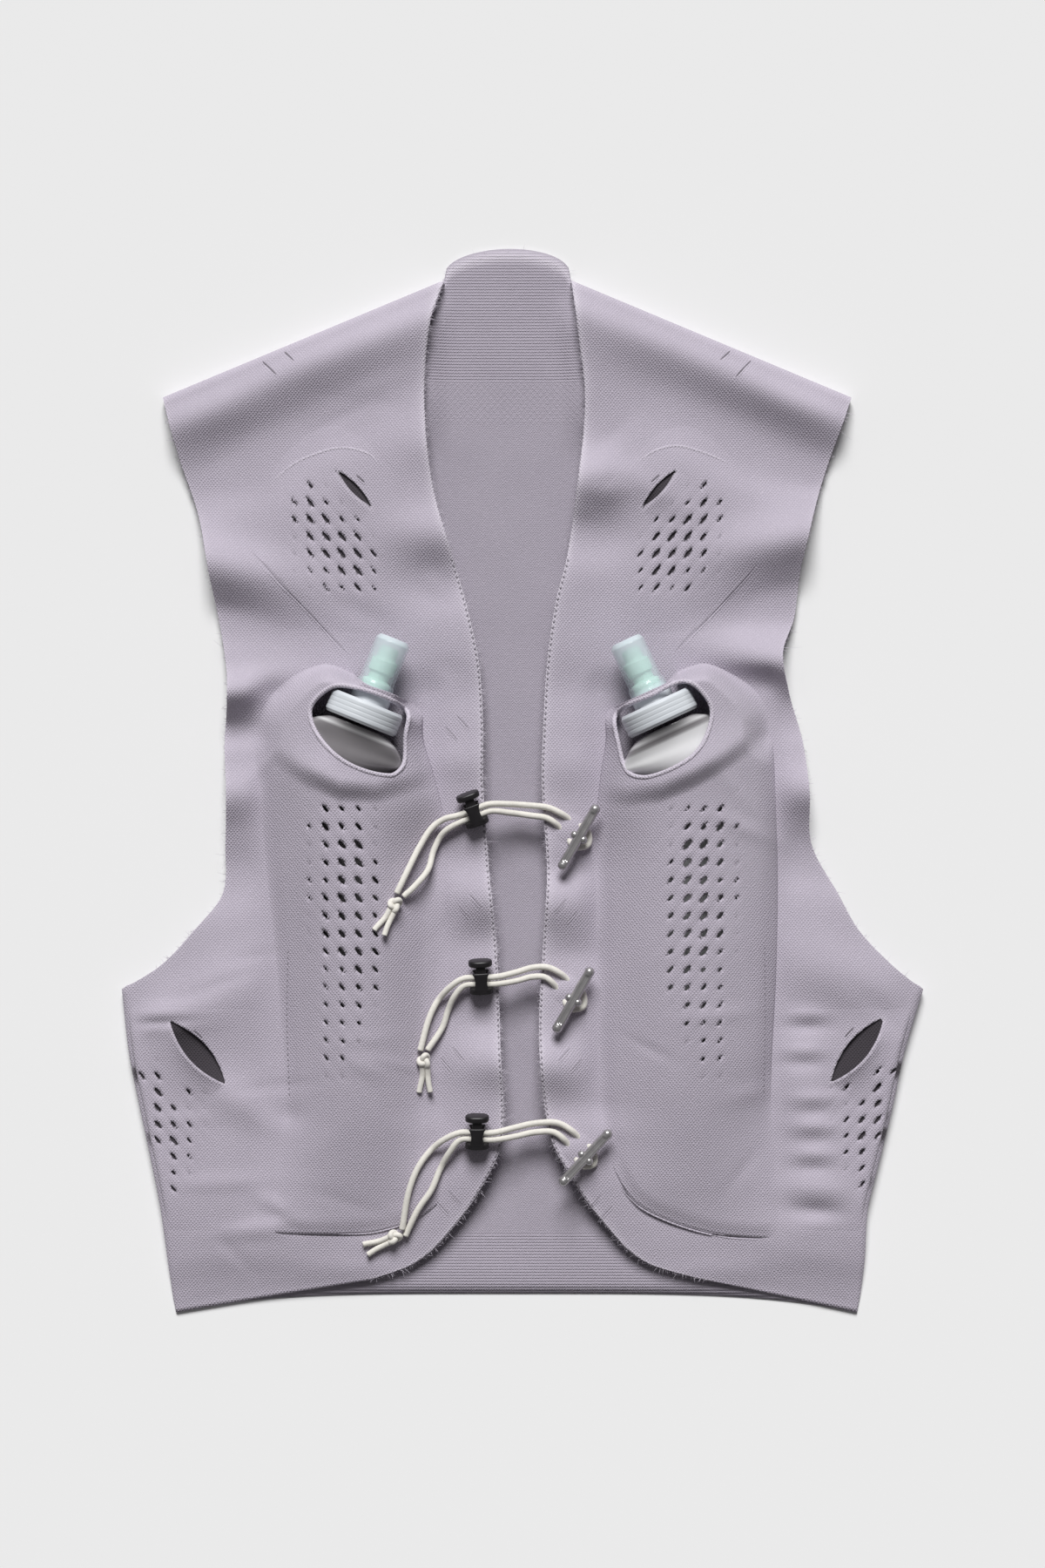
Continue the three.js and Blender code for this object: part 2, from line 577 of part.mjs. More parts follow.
function backPanel() {
  const right = SIDE_EDGE[0].right;
  const left = SIDE_EDGE[0].left;
  const hem = (u) => {
    const fromMiddle = (2 * u - 1) ** 4;
    return [THREE.MathUtils.lerp(right, left, u), THREE.MathUtils.lerp(BACK_HEM, SIDE_EDGE[0].y, fromMiddle)];
  };
  const start = (v) => outerEdge('right', v, ARMHOLE_INSET);
  const end = (v) => outerEdge('left', v, ARMHOLE_INSET);
  const half = rolledSpacing(BACK_COLUMNS / 2, BACK_HALF_WIDTH);
  const columns = [...half.map((t) => 0.5 - t / 2).reverse(), ...half.slice(1).map((t) => 0.5 + t / 2)];
  const neckColumns = NECK_STEPS.map((t) => THREE.MathUtils.lerp(NECK_SHARES.from, NECK_SHARES.to, t));
  const clearOfNeck = (u) => u < neckColumns[0] || u > neckColumns[neckColumns.length - 1];
  const order = [...columns.filter(clearOfNeck), ...neckColumns].sort((a, b) => a - b);
  const rows = panelRows(BACK_ROWS);
  const onShoulder = (u) => u <= NECK_SHARES.from || u >= NECK_SHARES.to;
  const sideOf = (u) => (u < 0.5 ? 'right' : 'left');
  const grid = rows.map((v) => order.map((u) => {
    const [x, y] = blendedPatch(hem, neckLine, start, end, u, v);
    const onFold = (v === 1 && onShoulder(u)) || ((u === 0 || u === 1) && v <= UNDERARM);
    const z = onFold ? KNIT / 2 + FOLD_RADIUS - GAP / 2 : backHeight(x, y);
    return new THREE.Vector3(x, y, z);
  }));
  const edgeNormal = (i, j) => {
    const u = order[j];
    if (rows[i] === 1 && onShoulder(u)) return outwardNormal(sideOf(u), true).negate();
    if ((u === 0 || u === 1) && rows[i] <= UNDERARM) return outwardNormal(sideOf(u), false).negate();
    return null;
  };
  return wallFromGrid(grid, KNIT, edgeNormal);
}

const knitLayers = [addPiece('back_panel', backPanel(), 'knit')];
for (const side of SIDES) knitLayers.push(addPiece(`front_${side}`, frontPanel(side), 'knit'));

// Top of the knit laid so far, straight under a point.
const DOWN = new THREE.Vector3(0, 0, -1);
function knitTop(x, y) {
  const above = new THREE.Vector3(x, y, CUT_HEIGHT);
  const [hit] = new THREE.Raycaster(above, DOWN).intersectObjects(knitLayers);
  return hit ? hit.point.z : 0;
}

// Top of the knit under a small thing of the given half width.
function seatHeight(x, y, half) {
  const steps = [-half, 0, half];
  return Math.max(...steps.flatMap((dx) => steps.map((dy) => knitTop(x + dx, y + dy))));
}

// Chest and hip pockets: layers that lie on the front, with a slit mouth and a field of eyelets.
const PATCH_STEPS = 5;
const LAYER_REST = POCKET_KNIT / 2 + 1.5 * GAP;
function patchGrid(corners, crown) {
  const bottom = lineBetween(corners[0], corners[1]);
  const straightTop = lineBetween(corners[3], corners[2]);
  const top = (u) => [straightTop(u)[0], straightTop(u)[1] + crown * Math.sin(Math.PI * u)];
  const start = lineBetween(corners[0], corners[3]);
  const end = lineBetween(corners[1], corners[2]);
  const steps = Array.from({ length: PATCH_STEPS + 1 }, (_, k) => k / PATCH_STEPS);
  return steps.map((v) => steps.map((u) => {
    const [x, y] = blendedPatch(bottom, top, start, end, u, v);
    const pouch = POUCH * Math.sin(Math.PI * u) * Math.sin(Math.PI * v);
    return new THREE.Vector3(x, y, knitTop(x, y) + LAYER_REST + pouch);
  }));
}

function pocketLayer(pocket, eyelets, crown = 0) {
  const wall = wallFromGrid(patchGrid(pocket.corners, crown), POCKET_KNIT);
  const cutters = [prism(slitOutline(pocket.slit, 4)), ...eyeletPrisms(pocket.eyelets, eyelets)];
  return cutAway(wall, cutters);
}

for (const side of SIDES) {
  const chest = CHEST_POCKETS[side];
  addPiece(`chest_pocket_${side}`, pocketLayer(chest, CHEST_EYELETS, chest.crown), 'pocket');
  addPiece(`hip_pocket_${side}`, pocketLayer(HIP_POCKETS[side], HIP_EYELETS), 'pocket');
}

// Flask pockets
const POCKET_ROUND = 2.2;       // how square the pocket is across
const POCKET_SHOULDER = 0.8;    // and how full at its edges
function pocketRise(x, y, side) {
  const { edges } = FLASK_POCKETS[side];
  const middle = atHeight(edges, 'middle', y);
  const outer = atHeight(edges, 'outer', y);
  const inner = atHeight(edges, 'inner', y);
  const half = (x - middle) * (outer - middle) > 0 ? outer - middle : inner - middle;
  const share = Math.min(Math.abs((x - middle) / half), 1);
  return atHeight(POCKET_BULGE, 'bulge', y) * (1 - share ** POCKET_ROUND) ** POCKET_SHOULDER;
}

function pathThrough(points) {
  const path = new THREE.SplineCurve(points.map(([x, y]) => new THREE.Vector2(x, y)));
  return (t) => path.getPoint(t).toArray();
}

const POCKET_COLUMNS = [0, 0.04, 0.11, 0.22, 0.36, 0.5, 0.64, 0.78, 0.89, 0.96, 1];
const POCKET_LEVELS = [0, 0.03, 0.09, 0.18, 0.3, 0.43, 0.56, 0.68, 0.78, 0.86, 0.93, 1];
function flaskPocket(side) {
  const { edges, mouth, top } = FLASK_POCKETS[side];
  const low = edges[0];
  const edge = (column, end) => (v) => {
    const y = THREE.MathUtils.lerp(low.y, end[1], v);
    return [atHeight(edges, column, y), y];
  };
  const first = top[0];
  const last = top[top.length - 1];
  const bottom = lineBetween([low.outer, low.y], [low.inner, low.y]);
  const across = side === 'right' ? POCKET_COLUMNS : [...POCKET_COLUMNS].reverse();
  const grid = POCKET_LEVELS.map((v) => across.map((u) => {
    const [x, y] = blendedPatch(bottom, pathThrough(top), edge('outer', first), edge('inner', last), u, v);
    return new THREE.Vector3(x, y, knitTop(x, y) + LAYER_REST + pocketRise(x, y, side));
  }));
  const wall = wallFromGrid(grid, POCKET_KNIT);
  const { rows, down, slant } = FLASK_EYELETS;
  const turn = side === 'right' ? -slant : slant;
  const centre = { x: low.middle, y: FLASK_EYELETS.top - (rows - 1) / 2 * down, turn };
  return cutAway(wall, [prism(mouth), ...eyeletPrisms(centre, FLASK_EYELETS)]);
}

const flaskPockets = SIDES.map((side) => addPiece(`flask_pocket_${side}`, flaskPocket(side), 'pocket'));
knitLayers.push(...flaskPockets);

// Soft flasks: oval sections along a middle line that leans towards the neck.
function flaskBody(side) {
  const { edges, cap } = FLASK_POCKETS[side];
  const neckLean = THREE.MathUtils.degToRad(-cap.lean);
  const positions = [];
  const faces = [];
  const straight = FLASK_SECTIONS[2].y;
  for (const section of FLASK_SECTIONS) {
    const share = THREE.MathUtils.smoothstep(section.y, straight - 20, straight + 12);
    const lean = neckLean * share;
    const x = section.y > straight
      ? cap.x + (section.y - cap.y) * Math.tan(-neckLean)
      : atHeight(edges, 'middle', section.y);
    for (let k = 0; k < FLASK_SIDES; k += 1) {
      const angle = 2 * Math.PI * k / FLASK_SIDES;
      const across = section.halfWidth * Math.cos(angle);
      positions.push(x + across * Math.cos(lean), section.y + across * Math.sin(lean));
      positions.push(section.height + section.halfDepth * Math.sin(angle));
    }
  }
  const last = FLASK_SECTIONS.length - 1;
  for (let i = 0; i < last; i += 1) {
    for (let k = 0; k < FLASK_SIDES; k += 1) {
      const a = i * FLASK_SIDES + k;
      const b = i * FLASK_SIDES + (k + 1) % FLASK_SIDES;
      faces.push(a, b, b + FLASK_SIDES, a, b + FLASK_SIDES, a + FLASK_SIDES);
    }
  }
  for (let k = 1; k + 1 < FLASK_SIDES; k += 1) {
    faces.push(0, k + 1, k);
    const foot = last * FLASK_SIDES;
    faces.push(foot, foot + k, foot + k + 1);
  }
  return indexedGeometry(positions, faces);
}

function latheOf(profile, sides) {
  return new THREE.LatheGeometry(profile.map(([radius, along]) => new THREE.Vector2(radius, along)), sides);
}

const CAP_EDGE = 1.6;
const CAP_PROFILE = [
  [0, -CAP_HALF], [CAP_RADIUS - CAP_EDGE, -CAP_HALF], [CAP_RADIUS, CAP_EDGE - CAP_HALF],
  [CAP_RADIUS, CAP_HALF - CAP_EDGE], [CAP_RADIUS - CAP_EDGE, CAP_HALF], [COLLAR_RADIUS, CAP_HALF],
  [COLLAR_RADIUS, COLLAR_TOP], [0, COLLAR_TOP],
];
const SLEEVE_FOOT = COLLAR_TOP + GAP;
const SLEEVE_TOP = SLEEVE_FOOT + SLEEVE_LENGTH;
const SLEEVE_INNER = SLEEVE_RADIUS - SLEEVE_WALL;
const SLEEVE_STEP = 1;          // the sleeve is this much slimmer above its foot band
const SLEEVE_BAND = { top: SLEEVE_FOOT + 6, shoulder: SLEEVE_FOOT + 8 };
const SLEEVE_CROWN = { edge: 2, drop: 3 };
const SLEEVE_ROOF = SLEEVE_TOP - SLEEVE_WALL;
const SLEEVE_PROFILE = [
  [SLEEVE_INNER, SLEEVE_FOOT],
  [SLEEVE_RADIUS, SLEEVE_FOOT],
  [SLEEVE_RADIUS, SLEEVE_BAND.top],
  [SLEEVE_RADIUS - SLEEVE_STEP, SLEEVE_BAND.shoulder],
  [SLEEVE_RADIUS - SLEEVE_STEP, SLEEVE_TOP - SLEEVE_CROWN.drop],
  [SLEEVE_RADIUS - SLEEVE_STEP - SLEEVE_CROWN.edge, SLEEVE_TOP],
  [0, SLEEVE_TOP],
  [0, SLEEVE_ROOF],
  [SLEEVE_INNER - SLEEVE_CROWN.edge, SLEEVE_ROOF],
  [SLEEVE_INNER - SLEEVE_STEP, SLEEVE_ROOF - SLEEVE_CROWN.edge],
  [SLEEVE_INNER - SLEEVE_STEP, SLEEVE_BAND.shoulder],
  [SLEEVE_INNER, SLEEVE_BAND.top],
  [SLEEVE_INNER, SLEEVE_FOOT],
];
// The valve's steps: radius, and height over the collar.
const VALVE_STEPS = [[9, 0], [9, 8], [6.6, 9], [6.6, 13], [8.4, 14], [8.4, 22], [6.2, 23], [6.2, 29], [4.8, 31]];
const VALVE_PROFILE = [
  [0, SLEEVE_FOOT],
  ...VALVE_STEPS.map(([radius, up]) => [radius, SLEEVE_FOOT + up]),
  [0, SLEEVE_FOOT + VALVE_STEPS[VALVE_STEPS.length - 1][1]],
];

for (const side of SIDES) {
  const { cap } = FLASK_POCKETS[side];
  addPiece(`flask_body_${side}`, flaskBody(side), 'film');
  const neck = new THREE.Group();
  neck.position.set(cap.x, cap.y, CAP_HEIGHT);
  neck.rotation.z = THREE.MathUtils.degToRad(-cap.lean);
  vest.add(neck);
  addPiece(`flask_cap_${side}`, latheOf(CAP_PROFILE, 16), 'cap', neck);
  addPiece(`valve_core_${side}`, latheOf(VALVE_PROFILE, 8), 'valve', neck);
  addPiece(`valve_sleeve_${side}`, latheOf(SLEEVE_PROFILE, 9), 'sleeve', neck);
}

// Toggles: a bar with a channel along its back, two rivet heads at its middle and a post into the knit.
const RIVET_RADIUS = 2.6;
const POST_RADIUS = 1.5;
const CHANNEL = { length: 32, width: 2, depth: 1.6 };
function toggleBar(lift) {
  const end = TOGGLE_LENGTH / 2;
  const round = [[TOGGLE_RADIUS, end - TOGGLE_RADIUS], [0.7 * TOGGLE_RADIUS, end - 0.3 * TOGGLE_RADIUS], [0, end]];
  const foot = round.map(([radius, along]) => [radius, -along]).reverse();
  const bar = latheOf([...foot, ...round], 8).rotateZ(-Math.PI / 2);
  const channel = new THREE.BoxGeometry(CHANNEL.length, CHANNEL.width, CHANNEL.depth)
    .translate(0, 0, TOGGLE_RADIUS);
  const rivets = [1, -1].map((way) => new THREE.SphereGeometry(RIVET_RADIUS, 6, 4)
    .translate(0, way * TOGGLE_RADIUS, 0));
  const postLength = lift - 2 * GAP;
  const post = new THREE.CylinderGeometry(POST_RADIUS, POST_RADIUS, postLength, 6).rotateX(Math.PI / 2)
    .translate(0, 0, -postLength / 2);
  return joined([cutAway(bar, [channel]), ...rivets, post]);
}

// Cord locks: a barrel with a cross hole for the two strands side by side, and a button whose fork slides in it.
const LOCK_PITCH = THREE.MathUtils.degToRad(12);
const LOCK_WALL = 1.2;
const STRAND_APART = 2.3;       // of each strand from the middle of the hole
const LOCK_CLEAR = 3;           // a strand runs straight this far beyond the lock
const LOCK_HOLE = { along: 2 * STRAND_APART + CORD + 2.4, deep: CORD + 1.6 };
const PRONG = { thick: 1.2, width: 6 };
const PRONG_AT = LOCK_HOLE.deep / 2 + PRONG.thick / 2;
const LOCK_CAVITY = { width: PRONG.width + 2 * GAP, deep: 2 * PRONG_AT + PRONG.thick + 2 * GAP };
const LOCK_DEPTH = LOCK_CAVITY.deep + 3 * LOCK_WALL;
const LOCK_LIFT = LOCK_DEPTH / 2 + 2.5;
const HOLE_UP = 2 * LOCK_WALL + LOCK_HOLE.along / 2;
function ovalPrism(width, depth, length, sides, taper = 1) {
  const oval = new THREE.CylinderGeometry(0.5 * taper, 0.5, length, sides);
  return oval.scale(width, 1, depth).translate(0, length / 2, 0);
}

function lockBarrel() {
  const outer = ovalPrism(LOCK_WIDTH, LOCK_DEPTH, LOCK_LENGTH, 14);
  const cavity = new THREE.BoxGeometry(LOCK_CAVITY.width, LOCK_LENGTH, LOCK_CAVITY.deep)
    .translate(0, LOCK_LENGTH / 2 + LOCK_WALL, 0);
  const hole = new THREE.BoxGeometry(2 * LOCK_WIDTH, LOCK_HOLE.along, LOCK_HOLE.deep).translate(0, HOLE_UP, 0);
  return cutAway(outer, [cavity, hole]).translate(0, -HOLE_UP, 0);
}

const BUTTON_STAND = BUTTON_TRAVEL + 0.6;
const FLANGE = { width: 15, depth: 12, thick: 4 };
function lockButton() {
  const prongFoot = -HOLE_UP + LOCK_WALL + BUTTON_TRAVEL + GAP;
  const prongTop = LOCK_LENGTH - HOLE_UP + BUTTON_STAND;
  const prongs = [1, -1].map((way) => new THREE.BoxGeometry(PRONG.width, prongTop - prongFoot, PRONG.thick)
    .translate(0, (prongTop + prongFoot) / 2, way * PRONG_AT));
  const bridgeFoot = LOCK_HOLE.along / 2 + BUTTON_TRAVEL + GAP;
  const bridge = new THREE.BoxGeometry(PRONG.width, prongTop - bridgeFoot, 2 * PRONG_AT)
    .translate(0, (prongTop + bridgeFoot) / 2, 0);
  const flange = ovalPrism(FLANGE.width, FLANGE.depth, FLANGE.thick, 14, 0.85).translate(0, prongTop - 0.5, 0);
  return joined([...prongs, bridge, flange]);
}

function lockFrame({ x, y, turn }) {
  const frame = new THREE.Group();
  frame.position.set(x, y, knitTop(x, y) + LOCK_LIFT);
  frame.rotation.set(LOCK_PITCH, 0, THREE.MathUtils.degToRad(turn), 'ZYX');
  frame.updateMatrixWorld();
  return frame;
}

// Overhand knot: a round lump with two short ends that leave it.
const KNOT = { length: 12, width: 10, height: 8 };
const TAIL = { length: 13, spread: 3.2, start: 1.6 };
function knotEnd(knot, way) {
  const [dx, dy] = turned(-KNOT.length / 2 - 2 * GAP, way * STRAND_APART, knot.turn);
  return [knot.x + dx, knot.y + dy];
}

// A cord loop seen from above, as a smooth line through its points: knot, lock, toggle, lock, knot.
function cordPlan(closure, frame) {
  const half = LOCK_WIDTH / 2 + LOCK_CLEAR;
  const inLock = (across, along) => {
    const point = frame.localToWorld(new THREE.Vector3(across, along, 0));
    return [point.x, point.y];
  };
  return [
    knotEnd(closure.knot, -1), ...closure.outer,
    inLock(-half, STRAND_APART), inLock(0, STRAND_APART), inLock(half, STRAND_APART),
    ...closure.upper, closure.turnPoint, ...[...closure.lower].reverse(),
    inLock(half, -STRAND_APART), inLock(0, -STRAND_APART), inLock(-half, -STRAND_APART),
    ...[knotEnd(closure.knot, 1), ...closure.inner].reverse(),
  ].map(([x, y]) => new THREE.Vector3(x, y, 0));
}

// The cord lies on the knit and spans its hollows: its height is the highest of the parabolas that hang
// from each point where it could touch. In its lock it runs at the level of the hole.
const PLAN_STEP = 4;
function cordPath(closure, frame) {
  const plan = new THREE.CatmullRomCurve3(cordPlan(closure, frame), false, 'centripetal');
  const count = Math.round(plan.getLength() / PLAN_STEP);
  const points = plan.getSpacedPoints(count);
  const touch = points.map(({ x, y }) => {
    const local = frame.worldToLocal(new THREE.Vector3(x, y, frame.position.z));
    if (Math.abs(local.x) < LOCK_WIDTH / 2 + PLAN_STEP) return null;
    return seatHeight(x, y, CORD / 2) + CORD / 2 + CORD_REST;
  });
  const inLock = ({ x, y }) => {
    const local = frame.worldToLocal(new THREE.Vector3(x, y, frame.position.z));
    return frame.localToWorld(new THREE.Vector3(local.x, Math.sign(local.y) * STRAND_APART, 0)).z;
  };
  const resting = points.map((point, k) => touch[k] ?? inLock(point));
  points.forEach((point, k) => {
    const hung = resting.map((z, m) => z - ((k - m) * PLAN_STEP) ** 2 / (2 * CORD_SAG_RADIUS));
    point.z = touch[k] === null ? resting[k] : Math.max(...hung);
  });
  return new THREE.CatmullRomCurve3(points, false, 'centripetal');
}

function roundSection(radius, sides) {
  const points = Array.from({ length: sides }, (_, k) => {
    const angle = 2 * Math.PI * k / sides;
    return new THREE.Vector2(radius * Math.cos(angle), radius * Math.sin(angle));
  });
  return new THREE.Shape(points);
}

function tube(path, radius, sides, steps) {
  return new THREE.ExtrudeGeometry(roundSection(radius, sides), { steps, extrudePath: path, bevelEnabled: false });
}

function cordKnot() {
  const lump = new THREE.SphereGeometry(0.5, 8, 6).scale(KNOT.length, KNOT.width, KNOT.height);
  const ends = [1, -1].map((way) => tube(new THREE.LineCurve3(
    new THREE.Vector3(0, way * TAIL.start, 0),
    new THREE.Vector3(KNOT.length / 2 + TAIL.length, way * TAIL.spread, 0),
  ), CORD / 2 - GAP, 6, 1));
  return joined([lump, ...ends]);
}

// A strip of the front's knit that holds the two strands down beside the toggle.
const STRIP = { span: 19, width: 6, thick: 1.3, steps: 6, squareness: 0.42 };
function cordBridge(rise) {
  const arch = (height, reach) => Array.from({ length: STRIP.steps + 1 }, (_, k) => {
    const angle = Math.PI * k / STRIP.steps;
    return new THREE.Vector2(reach * Math.cos(angle), height * Math.sin(angle) ** STRIP.squareness);
  });
  const half = STRIP.span / 2;
  const outline = [...arch(rise, half), ...arch(rise - STRIP.thick, half - STRIP.thick).reverse()];
  return new THREE.ExtrudeGeometry(new THREE.Shape(outline), { depth: STRIP.width, bevelEnabled: false })
    .translate(0, 0, -STRIP.width / 2).rotateX(Math.PI / 2);
}

const BRIDGE_AT = 4;            // which point of the upper and lower strands the strip crosses
CLOSURES.forEach((closure, index) => {
  const number = index + 1;
  const { toggle, knot, lock } = closure;

  const frame = lockFrame(lock);
  vest.add(frame);
  addPiece(`lock_barrel_${number}`, lockBarrel(), 'lock', frame);
  addPiece(`lock_button_${number}`, lockButton(), 'lock', frame);

  const path = cordPath(closure, frame);
  addPiece(`closure_cord_${number}`, tube(path, CORD / 2, CORD_SIDES, CORD_STEPS), 'cord');

  const nearToggle = path.points.filter(({ x, y }) => Math.hypot(x - toggle.x, y - toggle.y) < TOGGLE_LENGTH / 2);
  const cordTop = Math.max(...nearToggle.map((point) => point.z)) + CORD / 2;
  const barHeight = cordTop + RIVET_RADIUS + GAP;
  const seat = knitTop(toggle.x, toggle.y);
  const bar = addPiece(`toggle_${number}`, toggleBar(barHeight - seat), 'steel');
  bar.position.set(toggle.x, toggle.y, barHeight);
  bar.rotation.z = THREE.MathUtils.degToRad(toggle.turn);

  // The knot and its ends tip with the slope of the knit under them.
  const lump = addPiece(`cord_knot_${number}`, cordKnot(), 'cord');
  const [dx, dy] = turned(KNOT.length / 2 + TAIL.length, 0, knot.turn);
  const knotHeight = seatHeight(knot.x, knot.y, CORD / 2) + KNOT.height / 2 + GAP;
  const tailHeight = seatHeight(knot.x + dx, knot.y + dy, TAIL.spread + CORD / 2) + CORD / 2 + GAP;
  lump.position.set(knot.x, knot.y, knotHeight);
  lump.rotation.set(0, Math.atan2(knotHeight - tailHeight, Math.hypot(dx, dy)),
    THREE.MathUtils.degToRad(knot.turn), 'ZYX');

  // The strip stands on the knit on both sides of the strands.
  const [ux, uy] = closure.upper[BRIDGE_AT];
  const [lx, ly] = closure.lower[BRIDGE_AT];
  const middle = [(ux + lx) / 2, (uy + ly) / 2];
  const across = new THREE.Vector2(ux - lx, uy - ly).setLength(STRIP.span / 2);
  const upperFoot = seatHeight(middle[0] + across.x, middle[1] + across.y, STRIP.width / 2) + 1.5 * GAP;
  const lowerFoot = seatHeight(middle[0] - across.x, middle[1] - across.y, STRIP.width / 2) + 1.5 * GAP;
  const foot = (upperFoot + lowerFoot) / 2;
  const strip = addPiece(`cord_bridge_${number}`, cordBridge(cordTop - foot + STRIP.thick + 3 * GAP), 'knit');
  strip.position.set(...middle, foot);
  strip.rotation.set(0, Math.atan2(lowerFoot - upperFoot, STRIP.span), across.angle(), 'ZYX');
});

export default vest;
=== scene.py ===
"""A knitted running vest, closed in front and laid flat on its back, with a soft flask in each front pocket.

Sizes are millimetres, and +Z is up. Right and left are the wearer's, so the right front lies at -X. The neck
is at +Y.
"""

import bmesh
import bpy
import numpy as np
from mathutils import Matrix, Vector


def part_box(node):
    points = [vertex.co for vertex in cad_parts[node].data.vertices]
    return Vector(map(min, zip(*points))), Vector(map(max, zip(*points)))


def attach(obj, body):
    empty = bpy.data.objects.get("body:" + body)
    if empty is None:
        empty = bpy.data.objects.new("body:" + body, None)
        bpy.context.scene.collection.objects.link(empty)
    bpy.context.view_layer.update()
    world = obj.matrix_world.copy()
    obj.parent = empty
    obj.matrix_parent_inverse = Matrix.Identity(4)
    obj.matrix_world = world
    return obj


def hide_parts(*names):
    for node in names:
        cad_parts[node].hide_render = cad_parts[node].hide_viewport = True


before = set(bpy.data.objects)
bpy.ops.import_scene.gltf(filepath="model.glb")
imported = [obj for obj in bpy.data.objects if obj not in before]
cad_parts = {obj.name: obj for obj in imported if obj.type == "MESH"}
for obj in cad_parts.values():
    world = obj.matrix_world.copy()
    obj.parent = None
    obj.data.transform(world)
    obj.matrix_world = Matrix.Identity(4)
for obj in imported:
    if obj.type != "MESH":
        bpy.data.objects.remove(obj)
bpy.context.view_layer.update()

# Studio
# A pale floor, one soft light that stands beyond the neck, and a weak even light from all round.
# A long lens looks straight down, and the picture takes in 990 mm of the floor from top to bottom.
MM = 0.001                      # one millimetre, in the frame's metres
PICTURE_HEIGHT = 990
LENS = 100
SENSOR = 36
SIGHT_LEVEL = 14                # height at which the picture's scale holds
FLOOR_LEVEL = -0.3
FLOOR_HALF = 30000
FLOOR_TONES = (0.83, 0.85)
FLOOR_GRAIN = 0.25              # waves of the floor's tone in a metre
LIGHT_FROM = (-0.04, 0.75, 0.70)
LIGHT_WIDTH = 28                # degrees of the sky that the soft light fills
LIGHT_STRENGTH = 3.95
FILL_STRENGTH = 0.12

scene = bpy.context.scene
scene.view_settings.view_transform = "Standard"

camera_data = bpy.data.cameras.new("camera")
camera_data.lens = LENS
camera_data.sensor_width = SENSOR
camera = bpy.data.objects.new("camera", camera_data)
camera.location = (0, 0, (PICTURE_HEIGHT * LENS / SENSOR + SIGHT_LEVEL) * MM)
scene.collection.objects.link(camera)
scene.camera = camera

light_data = bpy.data.lights.new("soft_light", "SUN")
light_data.angle = np.radians(LIGHT_WIDTH)
light_data.energy = LIGHT_STRENGTH
light = bpy.data.objects.new("soft_light", light_data)
light.location = LIGHT_FROM
light.rotation_euler = light.location.to_track_quat("Z", "Y").to_euler()
scene.collection.objects.link(light)

world = bpy.data.worlds.new("even_light")
world.use_nodes = True
world.node_tree.nodes["Background"].inputs["Color"].default_value = (1.0, 0.99, 1.0, 1)
world.node_tree.nodes["Background"].inputs["Strength"].default_value = FILL_STRENGTH
scene.world = world


def new_finish(name, **sockets):
    """A material with its Principled shader's own sockets set, returned with its nodes and that shader."""
    finish = bpy.data.materials.new(name)
    finish.use_nodes = True
    shader = finish.node_tree.nodes["Principled BSDF"]
    for socket, value in sockets.items():
        shader.inputs[socket.replace("_", " ")].default_value = value
    return finish, finish.node_tree, shader


def add_node(tree, kind, inputs=(), **settings):
    """A node with its settings and inputs: each input is a value, or another node's output to link."""
    node = tree.nodes.new(kind)
    for key, value in settings.items():
        setattr(node, key, value)
    for key, value in dict(inputs).items():
        if isinstance(value, bpy.types.NodeSocket):
            tree.links.new(value, node.inputs[key])
        else:
            node.inputs[key].default_value = value
    return node


def object_noise(tree, scale, detail=2.0, output="Fac"):
    """One output of a noise over the object's own coordinates."""
    place = add_node(tree, "ShaderNodeTexCoord").outputs["Object"]
    inputs = {"Vector": place, "Scale": scale, "Detail": detail}
    return add_node(tree, "ShaderNodeTexNoise", inputs).outputs[output]


def lay_mesh(name, points, faces, finish, values=None, closed=True):
    """A smooth mesh object from arrays: points in millimetres, faces as point numbers, and values by point.
    The faces of a closed shape are turned to point outwards."""
    mesh = bpy.data.meshes.new(name)
    mesh.from_pydata((np.asarray(points, float) * MM).tolist(), [], [list(map(int, f)) for f in faces])
    for key, numbers in (values or {}).items():
        mesh.attributes.new(key, "FLOAT", "POINT").data.foreach_set("value", np.asarray(numbers, np.float32))
    if closed:
        work = bmesh.new()
        work.from_mesh(mesh)
        bmesh.ops.recalc_face_normals(work, faces=work.faces)
        work.to_mesh(mesh)
        work.free()
    mesh.polygons.foreach_set("use_smooth", np.ones(len(mesh.polygons), bool))
    mesh.materials.append(finish)
    mesh.update()
    piece = bpy.data.objects.new(name, mesh)
    scene.collection.objects.link(piece)
    return piece


floor_finish, floor_tree, floor_shader = new_finish("pale_floor", Roughness=0.95)
floor_tone = add_node(floor_tree, "ShaderNodeValToRGB", {"Fac": object_noise(floor_tree, FLOOR_GRAIN)})
for stop, tone in zip(floor_tone.color_ramp.elements, FLOOR_TONES):
    stop.color = (tone, tone, tone, 1)
floor_tree.links.new(floor_tone.outputs["Color"], floor_shader.inputs["Base Color"])
floor_corners = [(-FLOOR_HALF, -FLOOR_HALF, FLOOR_LEVEL), (FLOOR_HALF, -FLOOR_HALF, FLOOR_LEVEL),
                 (FLOOR_HALF, FLOOR_HALF, FLOOR_LEVEL), (-FLOOR_HALF, FLOOR_HALF, FLOOR_LEVEL)]
floor = lay_mesh("floor", floor_corners, [(0, 1, 2, 3)], floor_finish, closed=False)

